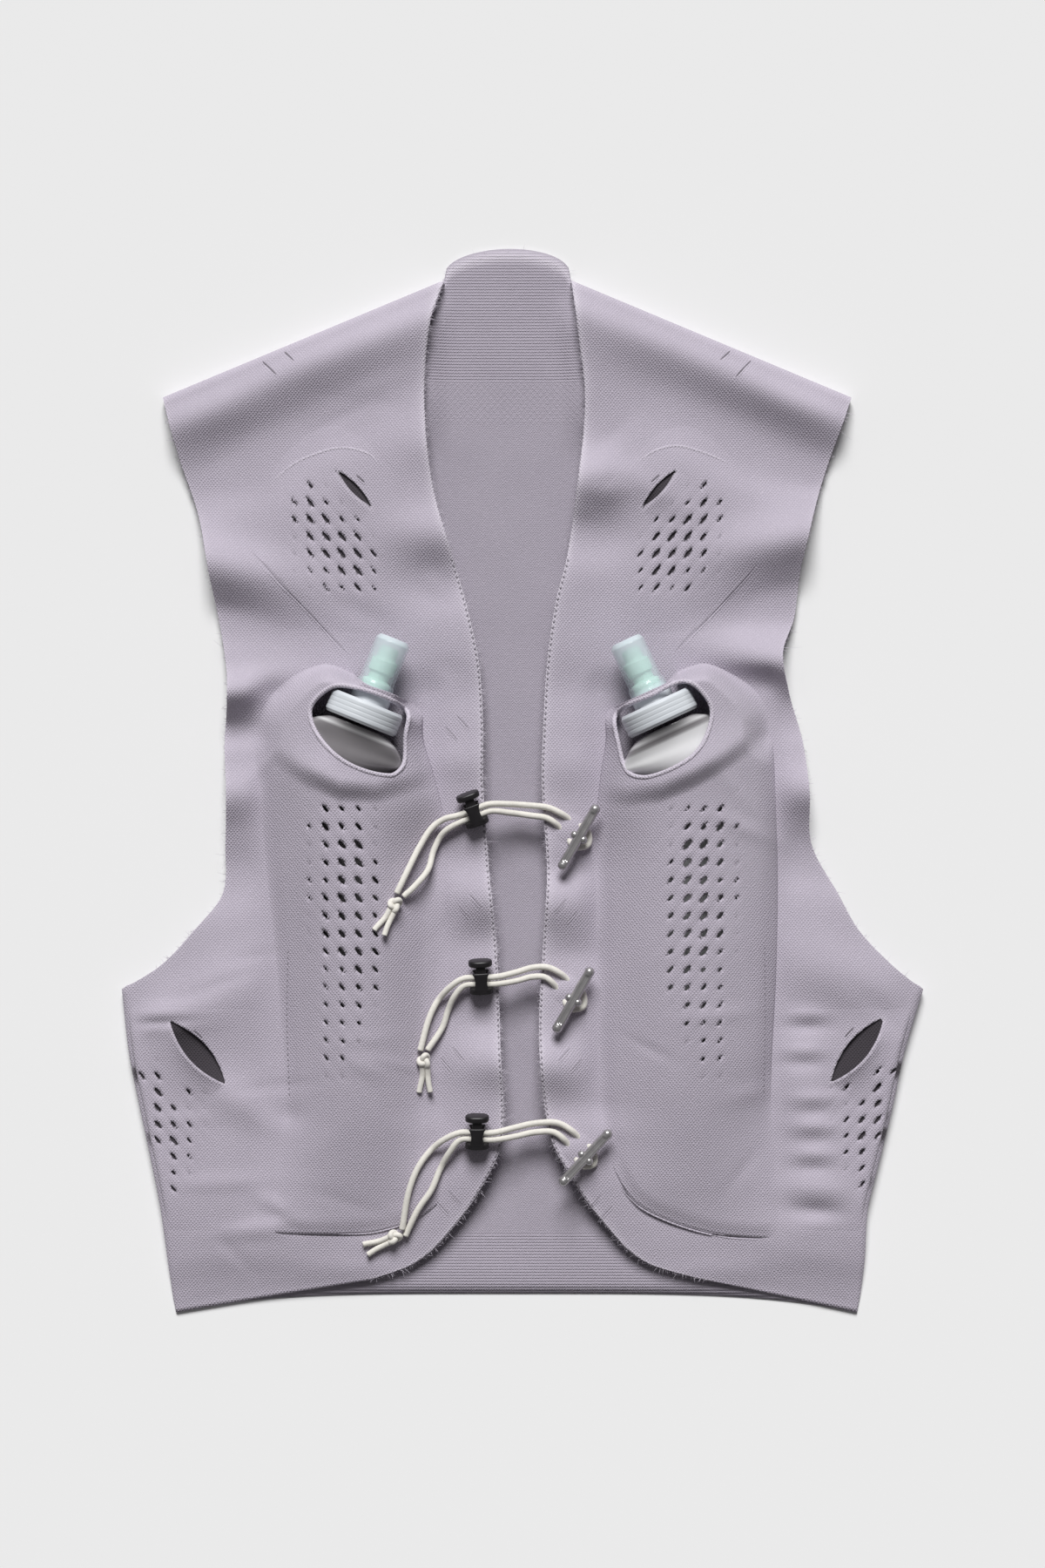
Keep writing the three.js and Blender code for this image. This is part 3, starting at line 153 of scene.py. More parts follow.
# Knit body: the shape
# One stretch knit goes round the body without a seam and rolls over at the shoulders and sides. It is cut raw
# at the neck, fronts, armholes and hem. The fronts lie over the back, with soft folds at the armholes.
SIDES = ("right", "left")
TO_MIDDLE = {"right": 1, "left": -1}  # way in x from each side to the middle of the vest
KNIT = 1.8                      # thickness of the body knit
FOLD_RADIUS = 4.5               # roll of the knit over the shoulder and the side
HEM_FLAT = 0.3                  # share of that radius left at the hem
HEM_REACH = 60                  # distance from the hem over which the roll flattens
DEEPEST = 5.5                   # of the folds' hollows, which the back stops
EDGE_LIFT = 6.5                 # rise of the fronts towards their raw edges
EDGE_LIFT_REACH = 48
# Fall of the fronts' edges towards the hem: its depth, the height at which it begins, and its reach.
LOW_EDGE = {"drop": 6, "from": -232, "reach": 55}
HEM_THIN = 0.4                  # share of the knit's thickness left at a raw hem
HEM_THIN_REACH = 12
# Press of a front's hem on the floor: its share, its reach up, and the places in x between which it grows.
HEM_PRESS = {"share": 0.55, "reach": 34, "from": 95, "to": 190}
FOLD_CALM = 14                  # distance from a rolled edge over which wrinkles fade
BED_BLEND = 22                  # distance over which the front flattens under a pocket
ARMHOLE_INSET = 5               # how far the back's armhole stands inside the front's
NECK_TOP = 335.2
BACK_HEM = -323
UNDERARM = 0.29                 # share of a panel's length below the underarm
SIDE_EDGE = {
    "y": [-335, -302, -269, -236, -203, -170, -130],
    "right": [-219.5, -224, -228.5, -235, -242, -248.5, -253],
    "left": [212, 216, 218, 226, 234, 241, 253],
}
ARMHOLE_EDGE = {
    "y": [-130, -115, -93, -70, -38, -5, 28, 60, 82, 105, 138, 171, 204, 244],
    "right": [-253, -229, -208, -190, -188, -187, -188.5, -186, -188.5, -192.5, -198.5, -205.5, -216.5,
              -227.5],
    "left": [253, 234, 213, 200, 183, 181, 177, 168, 164, 172, 176, 184, 194, 208],
}
FRONT_EDGE = {
    "y": [-314, -303, -280, -248, -222, -165, -99, -55, 0, 38, 77, 115, 143, 187, 242, 290, 318],
    "right": [-97, -68, -43.5, -22, -12.5, -13.8, -16.5, -21, -24.8, -24.8, -27.5, -35.8, -44, -56.5, -62,
              -58.5, -50],
    "left": [116, 79, 53.5, 30.5, 17.5, 10.5, 13, 15.4, 12.1, 13.2, 15.5, 21, 28, 34.5, 39.5, 34.5, 31],
}
# Folds of the fronts: x, y, rise, reach along, reach across, turn in degrees.
FOLDS = np.array([
    (-135, 272, 8.5, 105, 18, 22), (-122, 229, -6, 100, 19, 22), (-204, 232, 4, 42, 14, 16),
    (-204, 186, -5, 54, 18, 10), (-196, 139, 11, 50, 16, -14), (-194, 102, -8, 44, 15, -10),
    (-186, 58, 13, 35, 11, 8), (-190, 33, -7, 29, 9, 0), (-190, -8, 9, 26, 16, 6),
    (-192, -60, -7, 32, 18, 12), (-202, -138, 6, 48, 22, 22), (120, 273, 9, 105, 18, -22),
    (112, 228, -6, 90, 19, -22), (178, 240, 5, 44, 14, -20), (180, 198, -6, 48, 15, -8),
    (172, 155, 12, 46, 16, 12), (168, 113, -8, 42, 15, 10), (158, 78, 12, 37, 13, -10),
    (172, 42, -7, 31, 13, -14), (183, -4, 10, 26, 16, 0), (187, -50, -7, 31, 17, -10),
    (202, -122, 6, 46, 22, -22), (-56, 158, 6, 28, 16, 0), (-50, 126, -5, 26, 16, 0),
    (42, 228, -6, 22, 17, 0), (46, 191, 9, 27, 15, 0), (40, 155, -5, 26, 15, 0),
    (-20, -72, 5.5, 27, 15, 0), (-16, -176, 5.5, 27, 15, 0), (20, -76, 5.5, 25, 15, 0),
    (16, -178, 5.5, 25, 15, 0), (-228, -150, 3, 30, 8, 5), (-180, -200, 3, 26, 12, -30),
    (176, -196, 2.5, 14, 40, 12),
])
FLASK_BED = KNIT / 2 + 2 * FOLD_RADIUS  # level of a front's middle surface under a flask
# Flat beds under the flasks: x from, x to, y from, y to.
BEDS = [(-154, -66, -200, 56), (56, 150, -200, 56)]


def at_height(table, column, y):
    """A smooth curve through a table's rows: cubic pieces, each with the slope of the chord past its row."""
    rows, values = np.array(table["y"], float), np.array(table[column], float)
    order = np.arange(len(rows))
    before, after = np.maximum(order - 1, 0), np.minimum(order + 1, len(rows) - 1)
    slope = (values[after] - values[before]) / (rows[after] - rows[before])
    k = np.clip(np.searchsorted(rows, y) - 1, 0, len(rows) - 2)
    span = rows[k + 1] - rows[k]
    t = np.clip((y - rows[k]) / span, 0, 1)
    s = 1 - t
    bend = t * s * span * (s * slope[k] - t * slope[k + 1])
    return values[k] * s * s * (1 + 2 * t) + values[k + 1] * t * t * (1 + 2 * s) + bend


def edge_point(table, column, t):
    """Points on an edge at the share t of its height, as x and y in the last axis."""
    y = table["y"][0] + (table["y"][-1] - table["y"][0]) * np.asarray(t, float)
    return np.stack([at_height(table, column, y), y], axis=-1)


def fold_paths(side):
    """The two rolled edges of one side, as corner points: the side fold and the shoulder line."""
    down = np.stack([SIDE_EDGE[side], SIDE_EDGE["y"]], axis=-1).astype(float)
    tip = [ARMHOLE_EDGE[side][-1], ARMHOLE_EDGE["y"][-1]]
    neck = [FRONT_EDGE[side][-1], FRONT_EDGE["y"][-1]]
    return down, np.array([tip, neck], float)


def distance_to_path(x, y, path):
    """The least distance from points to a path's straight pieces."""
    best = np.full(np.shape(x), np.inf)
    for (ax, ay), (bx, by) in zip(path[:-1], path[1:]):
        along = ((x - ax) * (bx - ax) + (y - ay) * (by - ay)) / ((bx - ax) ** 2 + (by - ay) ** 2)
        t = np.clip(along, 0, 1)
        best = np.minimum(best, np.hypot(x - ax - t * (bx - ax), y - ay - t * (by - ay)))
    return best


def smooth(t):
    """The smooth step 3t^2 - 2t^3 between 0 and 1."""
    t = np.clip(t, 0, 1)
    return t * t * (3 - 2 * t)


def between(value, low, high):
    """A smooth step from 0 at low to 1 at high."""
    return smooth((value - low) / (high - low))


def turned_axes(x, y, place, turn):
    """Distances along and across a line through a place, which is turned from +X by degrees."""
    c, s = np.cos(np.radians(turn)), np.sin(np.radians(turn))
    dx, dy = x - place[0], y - place[1]
    return dx * c + dy * s, dy * c - dx * s


def fold_height(x, y, folds):
    """The sum of the folds, each rise * exp(-(along / reach)^2 - (across / reach)^2) about its own line."""
    total = np.zeros(np.shape(x))
    for fold_x, fold_y, rise, reach_along, reach_across, turn in folds:
        along, across = turned_axes(x, y, (fold_x, fold_y), turn)
        total += rise * np.exp(-((along / reach_along) ** 2) - (across / reach_across) ** 2)
    return total


# Small wrinkles, in the same columns as the folds: those that show singly, and many faint ones at random.
SINGLE_WRINKLES = np.array([
    (-158, -266, 1.4, 12, 5, -35), (-150, -276, -1.2, 12, 5, -35), (-170, -283, 1.2, 26, 5, 2),
    (-190, -252, 1.0, 34, 6, 3), (-236, -151, -2.2, 26, 3.5, 4), (-232, -143, 1.8, 28, 5, 6),
    (180, -145, 1.5, 13, 4.5, 0), (180, -154, -1.5, 13, 4.5, 0), (178, -168, 1.3, 13, 4.5, 0),
    (178, -177, -1.2, 13, 4.5, 0), (184, -198, 1.2, 13, 4, 0), (184, -207, -1.0, 13, 4, 0),
    (184, -216, 1.2, 13, 4, 0), (184, -225, -1.0, 13, 4, 0), (184, -234, 1.2, 13, 4, 0),
    (184, -243, -1.0, 13, 4, 0), (186, -270, -2.6, 18, 6, -4), (186, -256, 1.8, 20, 7, -4),
    (-40, 14, 2.0, 18, 12, 0), (-38, 58, -2.0, 20, 16, 0), (-36, -48, -2.2, 18, 12, 0),
    (-28, -100, -2.4, 18, 12, 10), (-26, -150, -2.0, 16, 11, 0), (32, -108, -2.6, 16, 12, 0),
    (28, -54, -2.2, 16, 10, 0), (30, 10, 2.2, 18, 14, 0), (28, -205, -2.2, 14, 12, 0),
    (30, 60, -2.0, 18, 16, 0), (-60, 214, 2.0, 18, 15, 0), (-120, -306, 1.2, 50, 9, -4),
    (130, -308, 1.2, 44, 9, 5),
])
FAINT_WRINKLES = 90
FAINT_FIELD = {"x": (-225, 225), "y": (-315, 260)}
FAINT_RISE = 0.55               # spread of their rises and depths
FAINT_ALONG = (9, 26)
FAINT_ACROSS = (3.5, 7.5)
FAINT_TURN = (-55, 55)
chance = np.random.default_rng(20)
WRINKLES = np.concatenate([SINGLE_WRINKLES, np.column_stack([
    chance.uniform(*FAINT_FIELD["x"], FAINT_WRINKLES), chance.uniform(*FAINT_FIELD["y"], FAINT_WRINKLES),
    chance.normal(0, FAINT_RISE, FAINT_WRINKLES), chance.uniform(*FAINT_ALONG, FAINT_WRINKLES),
    chance.uniform(*FAINT_ACROSS, FAINT_WRINKLES), chance.uniform(*FAINT_TURN, FAINT_WRINKLES)])])


def roll_radius(y):
    """Radius of the rolled side, which flattens towards the hem."""
    return FOLD_RADIUS * (HEM_FLAT + (1 - HEM_FLAT) * smooth((y - SIDE_EDGE["y"][0]) / HEM_REACH))


def front_height(x, y, side):
    """Middle surface of a front: it rolls up from the shoulder and side, lifts to its raw edge, carries the
    folds and wrinkles, lies flat under the flasks and comes down to the hem."""
    down, shoulder = fold_paths(side)
    distance = np.minimum(distance_to_path(x, y, down), distance_to_path(x, y, shoulder))
    radius = roll_radius(y)
    inward = np.minimum(distance / radius, 1)
    base = KNIT / 2 + radius * (1 + np.sqrt(1 - (1 - inward) ** 2))
    calm = 1 - np.exp(-((distance / FOLD_CALM) ** 2))
    from_edge = np.abs(x - at_height(FRONT_EDGE, side, y))
    by_edge = np.exp(-((from_edge / EDGE_LIFT_REACH) ** 2))
    low = LOW_EDGE["drop"] * smooth((LOW_EDGE["from"] - y) / LOW_EDGE["reach"])
    lift = EDGE_LIFT * by_edge - low * by_edge
    folds = fold_height(x, y, FOLDS)
    folds = np.where(folds < 0, DEEPEST * np.tanh(folds / DEEPEST), folds)
    height = base + calm * (lift + folds)
    for x_from, x_to, y_from, y_to in BEDS:
        out_x = np.maximum(np.maximum(x_from - x, x - x_to), 0)
        out_y = np.maximum(np.maximum(y_from - y, y - y_to), 0)
        share = 1 - smooth(np.hypot(out_x, out_y) / BED_BLEND)
        height += share * (np.minimum(FLASK_BED, base) - height)
    return height + calm * fold_height(x, y, WRINKLES)


def blended_patch(bottom, top, start, end, u, v):
    """A patch between four edges: bottom and top run with u, start and end with v. It is the sum of the two
    ruled patches less the one through the corners."""
    u, v = u[..., None], v[..., None]
    ruled = (1 - v) * bottom(u[..., 0]) + v * top(u[..., 0]) + (1 - u) * start(v[..., 0]) + u * end(v[..., 0])
    zero, one = np.zeros(1), np.ones(1)
    low = (1 - u) * bottom(zero) + u * bottom(one)
    high = (1 - u) * top(zero) + u * top(one)
    return ruled - (1 - v) * low - v * high


def line_between(a, b):
    """The straight line from a to b as a function of its share t."""
    return lambda t: np.asarray(a, float) + np.asarray(t, float)[..., None] * (np.asarray(b, float) - a)


def outer_edge(side, v, inset=0.0):
    """The outer edge of a panel: the side fold up to the underarm, then the armhole, which is set in by a half
    sine wave."""
    below = edge_point(SIDE_EDGE, side, np.clip(v / UNDERARM, 0, 1))
    t = np.clip((v - UNDERARM) / (1 - UNDERARM), 0, 1)
    above = edge_point(ARMHOLE_EDGE, side, t)
    above[..., 0] -= np.sign(above[..., 0]) * inset * np.sin(np.pi * t)
    return np.where((v <= UNDERARM)[..., None], below, above)


ROLL_STEPS = 7                  # of a quarter roll


def roll_spacing(steps, share):
    """Steps from 0 to 1 that are close in a quarter roll of the given share, and even after it."""
    angle = np.linspace(0, np.pi / 2, ROLL_STEPS + 1)[:-1]
    return np.concatenate([share * (1 - np.cos(angle)), np.linspace(share, 1, steps)])


def grid_faces(rows, columns, wrap=False):
    """Quads of a grid of points, row by row. With wrap, the last column joins the first."""
    i = np.arange(rows - 1)[:, None]
    j = np.arange(columns if wrap else columns - 1)[None, :]
    after = (j + 1) % columns
    corners = [i * columns + j, i * columns + after, (i + 1) * columns + after, (i + 1) * columns + j]
    return np.stack(np.broadcast_arrays(*corners), axis=-1).reshape(-1, 4)


def joined(parts):
    """Joins lists of points and faces, and keeps every point."""
    starts = np.cumsum([0] + [len(points) for points, _ in parts[:-1]])
    points = np.concatenate([points for points, _ in parts])
    faces = [list(np.add(face, start)) for (_, own), start in zip(parts, starts) for face in own]
    return points, faces


def weld(parts):
    """Joins lists of points and quads, and makes points that coincide one."""
    points, faces = joined(parts)
    _, first, number = np.unique(np.round(points, 3), axis=0, return_index=True, return_inverse=True)
    return points[first], number.ravel()[np.array(faces)]


FRONT_STEPS = {"across": 78, "along": 262}
FRONT_WIDTH = 185
ARMHOLE_LENGTH = 395
RAW_REACH = 2.2                 # distance from a raw edge over which the cut yarn shows pale
ARMHOLE_RAW = 0.25              # how raw an armhole is beside the front's edge
ARMHOLE_RAW_REACH = 2.0
ARMHOLE_SAMPLES = 60


def thinned(from_hem):
    """Share of the knit's thickness at a distance from a raw hem."""
    return HEM_THIN + (1 - HEM_THIN) * smooth(from_hem / HEM_THIN_REACH)


def front_surface(side):
    """Points and faces of a front, and its rawness and thickness by point: the patch between its edges at
    front_height, and the quarter rolls that go on under it at the side and the shoulder."""
    _, shoulder = fold_paths(side)
    hem_from = [SIDE_EDGE[side][0], SIDE_EDGE["y"][0]]
    hem_to = [FRONT_EDGE[side][0], FRONT_EDGE["y"][0]]
    u = roll_spacing(FRONT_STEPS["across"], FOLD_RADIUS / FRONT_WIDTH)
    above = 1 - roll_spacing(int(FRONT_STEPS["along"] * (1 - UNDERARM)), FOLD_RADIUS / ARMHOLE_LENGTH)[::-1]
    below = np.linspace(0, UNDERARM, int(FRONT_STEPS["along"] * UNDERARM))[:-1]
    v = np.concatenate([below, UNDERARM + (1 - UNDERARM) * above])
    grid_u, grid_v = np.meshgrid(u, v)
    plan = blended_patch(
        line_between(hem_from, hem_to), line_between(*shoulder),
        lambda t: outer_edge(side, t), lambda t: edge_point(FRONT_EDGE, side, t), grid_u, grid_v)
    x, y = plan[..., 0], plan[..., 1]
    z = front_height(x, y, side)
    on_fold = (grid_v >= 1) | ((grid_u <= 0) & (grid_v <= UNDERARM))
    z = np.where(on_fold, KNIT / 2 + roll_radius(y), z)
    main = np.stack([x, y, z], axis=-1)
    angle = np.linspace(0, np.pi / 2, ROLL_STEPS + 1)
    inward, drop = 1 - np.cos(angle), np.sin(angle)
    edge = main[grid_v[:, 0] <= UNDERARM + 1e-9, 0]
    side_roll = edge[:, None] + roll_radius(edge[:, 1])[:, None, None] * np.stack(
        [TO_MIDDLE[side] * inward, 0 * inward, -drop], axis=-1)
    along = (shoulder[1] - shoulder[0]) / np.linalg.norm(shoulder[1] - shoulder[0])
    across = np.array([along[1], -along[0]]) * TO_MIDDLE[side]
    shoulder_roll = main[-1][:, None] + FOLD_RADIUS * np.stack(
        [across[0] * inward, across[1] * inward, -drop], axis=-1)
    parts = []
    for grid, flipped_on in ((main, "left"), (side_roll, "right"), (shoulder_roll, "right")):
        faces = grid_faces(*grid.shape[:2])
        parts.append((grid.reshape(-1, 3), faces[:, ::-1] if side == flipped_on else faces))
    points, faces = weld(parts)
    x, y = points[:, :2].T
    from_hem = distance_to_path(x, y, np.array([hem_from, hem_to], float))
    outer = between(np.abs(x), HEM_PRESS["from"], HEM_PRESS["to"])
    points[:, 2] *= 1 - HEM_PRESS["share"] * outer * (1 - smooth(from_hem / HEM_PRESS["reach"]))
    armhole = edge_point(ARMHOLE_EDGE, side, np.linspace(0, 1, ARMHOLE_SAMPLES))
    raw = np.maximum(
        np.exp(-np.abs(x - at_height(FRONT_EDGE, side, y)) / RAW_REACH),
        ARMHOLE_RAW * np.exp(-distance_to_path(x, y, armhole) / ARMHOLE_RAW_REACH))
    return points, faces, raw, thinned(from_hem)


NECK_SHARES = (0.4, 0.6)        # of the back's upper edge between which the neck arch lies
NECK_STEPS = 40
NECK_TILT = 1.5                 # how much lower the arch is on the right
NECK_ROUND = 0.32               # power of the sine wave that the arch rises by
NECK_CURL = 6
NECK_CURL_REACH = 10
NECK_CURL_SPAN = (205, 245, 285, 315)  # heights at which the curl begins, is full, begins to fall and ends
ROLL_END = 0.03                 # share of a panel's length over which the side's roll ends above the underarm
BACK_STEPS = {"across": 90, "along": 124}


def neck_line(u):
    """The back's upper edge, just inside the shoulder rolls: right shoulder, neck arch, left shoulder."""
    tops = []
    for side in SIDES:
        _, shoulder = fold_paths(side)
        slope = np.hypot(*(shoulder[1] - shoulder[0])) / abs(shoulder[1][0] - shoulder[0][0])
        tops.append(shoulder - [0, FOLD_RADIUS * slope])
    (right_tip, right_neck), (left_tip, left_neck) = tops
    first, last = NECK_SHARES
    t = np.clip((u - first) / (last - first), 0, 1)
    arch = line_between(right_neck, left_neck)(t)
    arch[..., 1] += (NECK_TOP - NECK_TILT * (1 - t) - arch[..., 1]) * np.sin(np.pi * t) ** NECK_ROUND
    right = line_between(right_tip, right_neck)(np.clip(u / first, 0, 1))
    left = line_between(left_neck, left_tip)(np.clip((u - last) / (1 - last), 0, 1))
    return np.where((u <= first)[..., None], right, np.where((u >= last)[..., None], left, arch))


def back_surface():
    """Points and faces of the back, and its rawness and thickness by point: a patch that ends where the rolls
    of the fronts begin. It is flat, but curls up a little under the fronts' edges at the neck."""
    right, left = SIDE_EDGE["right"][0], SIDE_EDGE["left"][0]

    def hem(u):
        y = BACK_HEM + (SIDE_EDGE["y"][0] - BACK_HEM) * (2 * u - 1) ** 4
        inset = roll_radius(SIDE_EDGE["y"][0])
        return np.stack([right + inset + (left - right - 2 * inset) * u, y], axis=-1)

    def inner_side(side):
        def edge(v):
            points = outer_edge(side, v, ARMHOLE_INSET)
            inset = roll_radius(points[..., 1]) * (1 - smooth((v - UNDERARM) / ROLL_END))
            points[..., 0] -= np.sign(points[..., 0]) * inset
            return points
        return edge

    even_u = np.linspace(0, 1, BACK_STEPS["across"])
    u = np.unique(np.concatenate([even_u, np.linspace(*NECK_SHARES, NECK_STEPS)]))
    v = np.unique(np.concatenate([np.linspace(0, 1, BACK_STEPS["along"]), [UNDERARM]]))
    grid_u, grid_v = np.meshgrid(u, v)
    plan = blended_patch(hem, neck_line, inner_side("right"), inner_side("left"), grid_u, grid_v)
    x, y = plan[..., 0], plan[..., 1]
    beside = np.min([np.abs(x - at_height(FRONT_EDGE, side, y)) for side in SIDES], axis=0)
    by_neck = between(y, *NECK_CURL_SPAN[:2]) * (1 - between(y, *NECK_CURL_SPAN[2:]))
    thin = thinned(y - hem(grid_u)[..., 1])
    z = KNIT / 2 * thin + NECK_CURL * by_neck * np.exp(-((beside / NECK_CURL_REACH) ** 2))
    points = np.stack([x, y, z], axis=-1).reshape(-1, 3)
    in_arch = ((grid_u > NECK_SHARES[0]) & (grid_u < NECK_SHARES[1])).ravel()
    raw = in_arch * np.exp(-np.abs(points[:, 1] - neck_line(grid_u)[..., 1].ravel()) / RAW_REACH)
    return points, grid_faces(*grid_u.shape), raw, thin.ravel()


# Knit body: the finish
# Matt mauve-grey yarn in a fine pique that shows as small slanted dots, paler and fluffy at the raw edges.
# The inside of the back has fine ribs under the neck, a dotted band, brushed loops, and ribs at the hem.
YARN_LIGHT = (0.530, 0.484, 0.564, 1)
YARN_DARK = (0.375, 0.340, 0.400, 1)
# Pale yarn of the raw edges, also used as a painted highlight on the lips and ridges of the knitted marks.
YARN_RAW_AND_HIGHLIGHT = (0.630, 0.585, 0.660, 1)
# Painted shade: the near-black tone that a piece's shade value mixes in, for the shadow in openings, slits,
# seams and stitch holes.
PAINTED_SHADE_TONE = (0.040, 0.034, 0.040, 1)
RIB_PITCH = 1.9
DOT_PITCH = {"across": 4.2, "down": 4.6}
NECK_RIBS = (254.7, 345)
NECK_DOTS = (228.3, 254.7)
HEM_RIBS = (-345, -285)
BAND_BLEND = 1                  # half of the distance over which a band begins or ends
DRIFT = {"scale": 260.0, "reach": 1.6}  # how the loops' rows wander
FLUFF_SCALE = 900.0
CLOUD_SCALE = 22.0
TONE_SHARES = {"clouds": 0.5, "loops": 0.35, "fluff": 0.5}


def new_group(name, inputs, outputs):
    """A shader node group with named number inputs and their values, and named outputs."""
    tree = bpy.data.node_groups.new(name, "ShaderNodeTree")
    for key, value in inputs.items():
        tree.interface.new_socket(key, in_out="INPUT", socket_type="NodeSocketFloat").default_value = value
    for key in outputs:
        tree.interface.new_socket(key, in_out="OUTPUT", socket_type="NodeSocketFloat")
    return tree, tree.nodes.new("NodeGroupInput").outputs, tree.nodes.new("NodeGroupOutput").inputs


def calculate(tree, operation, *numbers):
    """A Math node's output for its inputs, each a number or another output."""
    return add_node(tree, "ShaderNodeMath", enumerate(numbers), operation=operation).outputs[0]


def crossed_waves(tree, x, y, across, down):
    """Dots in a diamond lattice: (1 + sin(p + q)) * (1 + sin(p - q)) / 4, where p and q are x and y over the
    two pitches, in full waves."""
    turns = 2 * np.pi / MM
    first = calculate(tree, "DIVIDE", calculate(tree, "MULTIPLY", x, turns), across)
    second = calculate(tree, "DIVIDE", calculate(tree, "MULTIPLY", y, turns), down)
    rising = calculate(tree, "SINE", calculate(tree, "ADD", first, second))
    falling = calculate(tree, "SINE", calculate(tree, "SUBTRACT", first, second))
    rising, falling = (calculate(tree, "MULTIPLY_ADD", wave, 0.5, 0.5) for wave in (rising, falling))
    return calculate(tree, "MULTIPLY", rising, falling)


def pique_group():
    """Pique loops as crossed waves on a place that noise moves a little, with fluff noise on top. Height is
    the relief and Tone the colour, about 0 to 1."""
    tree, given, out = new_group(
        "pique_loops", {"Across": 2.6, "Down": 3.4, "Fluff": 0.5}, ["Height", "Tone"])
    place = add_node(tree, "ShaderNodeTexCoord").outputs["Object"]
    drift = object_noise(tree, DRIFT["scale"], 1.0, "Color")
    reach = [DRIFT["reach"] * MM] * 3
    moved = add_node(tree, "ShaderNodeVectorMath", {0: drift, 1: reach, 2: place}, operation="MULTIPLY_ADD")
    parts = add_node(tree, "ShaderNodeSeparateXYZ", {0: moved.outputs[0]}).outputs
    loops = crossed_waves(tree, parts[0], parts[1], given["Across"], given["Down"])
    fluffy = calculate(tree, "MULTIPLY", object_noise(tree, FLUFF_SCALE), given["Fluff"])
    tree.links.new(calculate(tree, "ADD", loops, fluffy), out["Height"])
    loop_tone = calculate(tree, "MULTIPLY", loops, TONE_SHARES["loops"])
    clouds = object_noise(tree, CLOUD_SCALE, 3.0)
    tone = calculate(tree, "MULTIPLY_ADD", clouds, TONE_SHARES["clouds"], loop_tone)
    tree.links.new(calculate(tree, "MULTIPLY_ADD", fluffy, TONE_SHARES["fluff"], tone), out["Tone"])
    return tree


def band_group():
    """Relief of the inner back by its height y: ribs under the neck, a dotted band, ribs at the hem. Each is a
    sine wave, or crossed ones, times a mask that steps smoothly at both ends."""
    tree, _, out = new_group("inner_bands", {}, ["Height"])
    place = add_node(tree, "ShaderNodeTexCoord").outputs["Object"]
    parts = add_node(tree, "ShaderNodeSeparateXYZ", {0: place}).outputs

    def mask(span):
        ends = []
        for y in span:
            inputs = {"Value": parts[1], "From Min": (y - BAND_BLEND) * MM, "From Max": (y + BAND_BLEND) * MM}
            step = add_node(tree, "ShaderNodeMapRange", inputs, interpolation_type="SMOOTHSTEP")
            ends.append(step.outputs[0])
        return calculate(tree, "SUBTRACT", *ends)

    ribs = calculate(tree, "SINE", calculate(tree, "MULTIPLY", parts[1], 2 * np.pi / (RIB_PITCH * MM)))
    dots = crossed_waves(tree, parts[0], parts[1], DOT_PITCH["across"], DOT_PITCH["down"])
    ribbed = calculate(tree, "ADD", mask(NECK_RIBS), mask(HEM_RIBS))
    relief = calculate(tree, "MULTIPLY_ADD", ribs, ribbed, calculate(tree, "MULTIPLY", dots, mask(NECK_DOTS)))
    tree.links.new(relief, out["Height"])
    return tree


PIQUE = pique_group()
BANDS = band_group()


def mixed(tree, factor, first, second):
    """A colour between two, each a colour or another output."""
    node = add_node(tree, "ShaderNodeMix", {0: factor, 6: first, 7: second}, data_type="RGBA")
    return node.outputs[2]


def knit_finish(name, loops, relief, bands=0.0, tint=1.0):
    """The knit: yarn colours mixed by the loops' tone, paler where the piece's raw value is high (cut yarn at
    the raw edges, and a painted highlight on the marks' lips and ridges), and darkened by painted shade where
    its shade value is, with the loops and the inner bands as relief."""
    finish, tree, shader = new_finish(
        name, Roughness=0.92, Sheen_Weight=0.10, Sheen_Roughness=0.5, Specular_IOR_Level=0.2)
    pique = tree.nodes.new("ShaderNodeGroup")
    pique.node_tree = PIQUE
    for key, value in loops.items():
        pique.inputs[key].default_value = value
    light, dark = ([c * tint for c in colour[:3]] + [1] for colour in (YARN_LIGHT, YARN_DARK))
    yarn = mixed(tree, pique.outputs["Tone"], dark, light)
    raw = add_node(tree, "ShaderNodeAttribute", attribute_name="raw").outputs["Fac"]
    painted_shade = add_node(tree, "ShaderNodeAttribute", attribute_name="painted_shade").outputs["Fac"]
    # Painted shade is mixed over the yarn by the shade value.
    colour = mixed(tree, painted_shade, mixed(tree, raw, yarn, YARN_RAW_AND_HIGHLIGHT), PAINTED_SHADE_TONE)
    tree.links.new(colour, shader.inputs["Base Color"])
    height = pique.outputs["Height"]
    if bands:
        inner = tree.nodes.new("ShaderNodeGroup")
        inner.node_tree = BANDS
        height = calculate(tree, "MULTIPLY_ADD", inner.outputs["Height"], bands, height)
    bump = add_node(tree, "ShaderNodeBump", {"Strength": 0.6, "Distance": relief * MM, "Height": height})
    tree.links.new(bump.outputs["Normal"], shader.inputs["Normal"])
    return finish


THIN_STEPS = 10


def thicken(piece, thickness, shares=None):
    """Gives a sheet its thickness, half on each side of its middle surface. Shares of it by point are rounded
    to tenths."""
    wall = piece.modifiers.new("thickness", "SOLIDIFY")
    wall.thickness = thickness * MM
    wall.offset = 0
    wall.use_even_offset = False
    if shares is not None:
        weights = piece.vertex_groups.new(name="thickness")
        rounded = np.round(shares * THIN_STEPS)
        for step in range(1, THIN_STEPS + 1):
            weights.add(np.flatnonzero(rounded == step).tolist(), step / THIN_STEPS, "REPLACE")
        wall.vertex_group = weights.name
    return piece


def worn_on(piece, body, slot, *nodes):
    """Ties a piece to its body and hides the solids that it stands for. slot is not used."""
    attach(piece, body)
    if nodes:
        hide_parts(*nodes)
    return piece
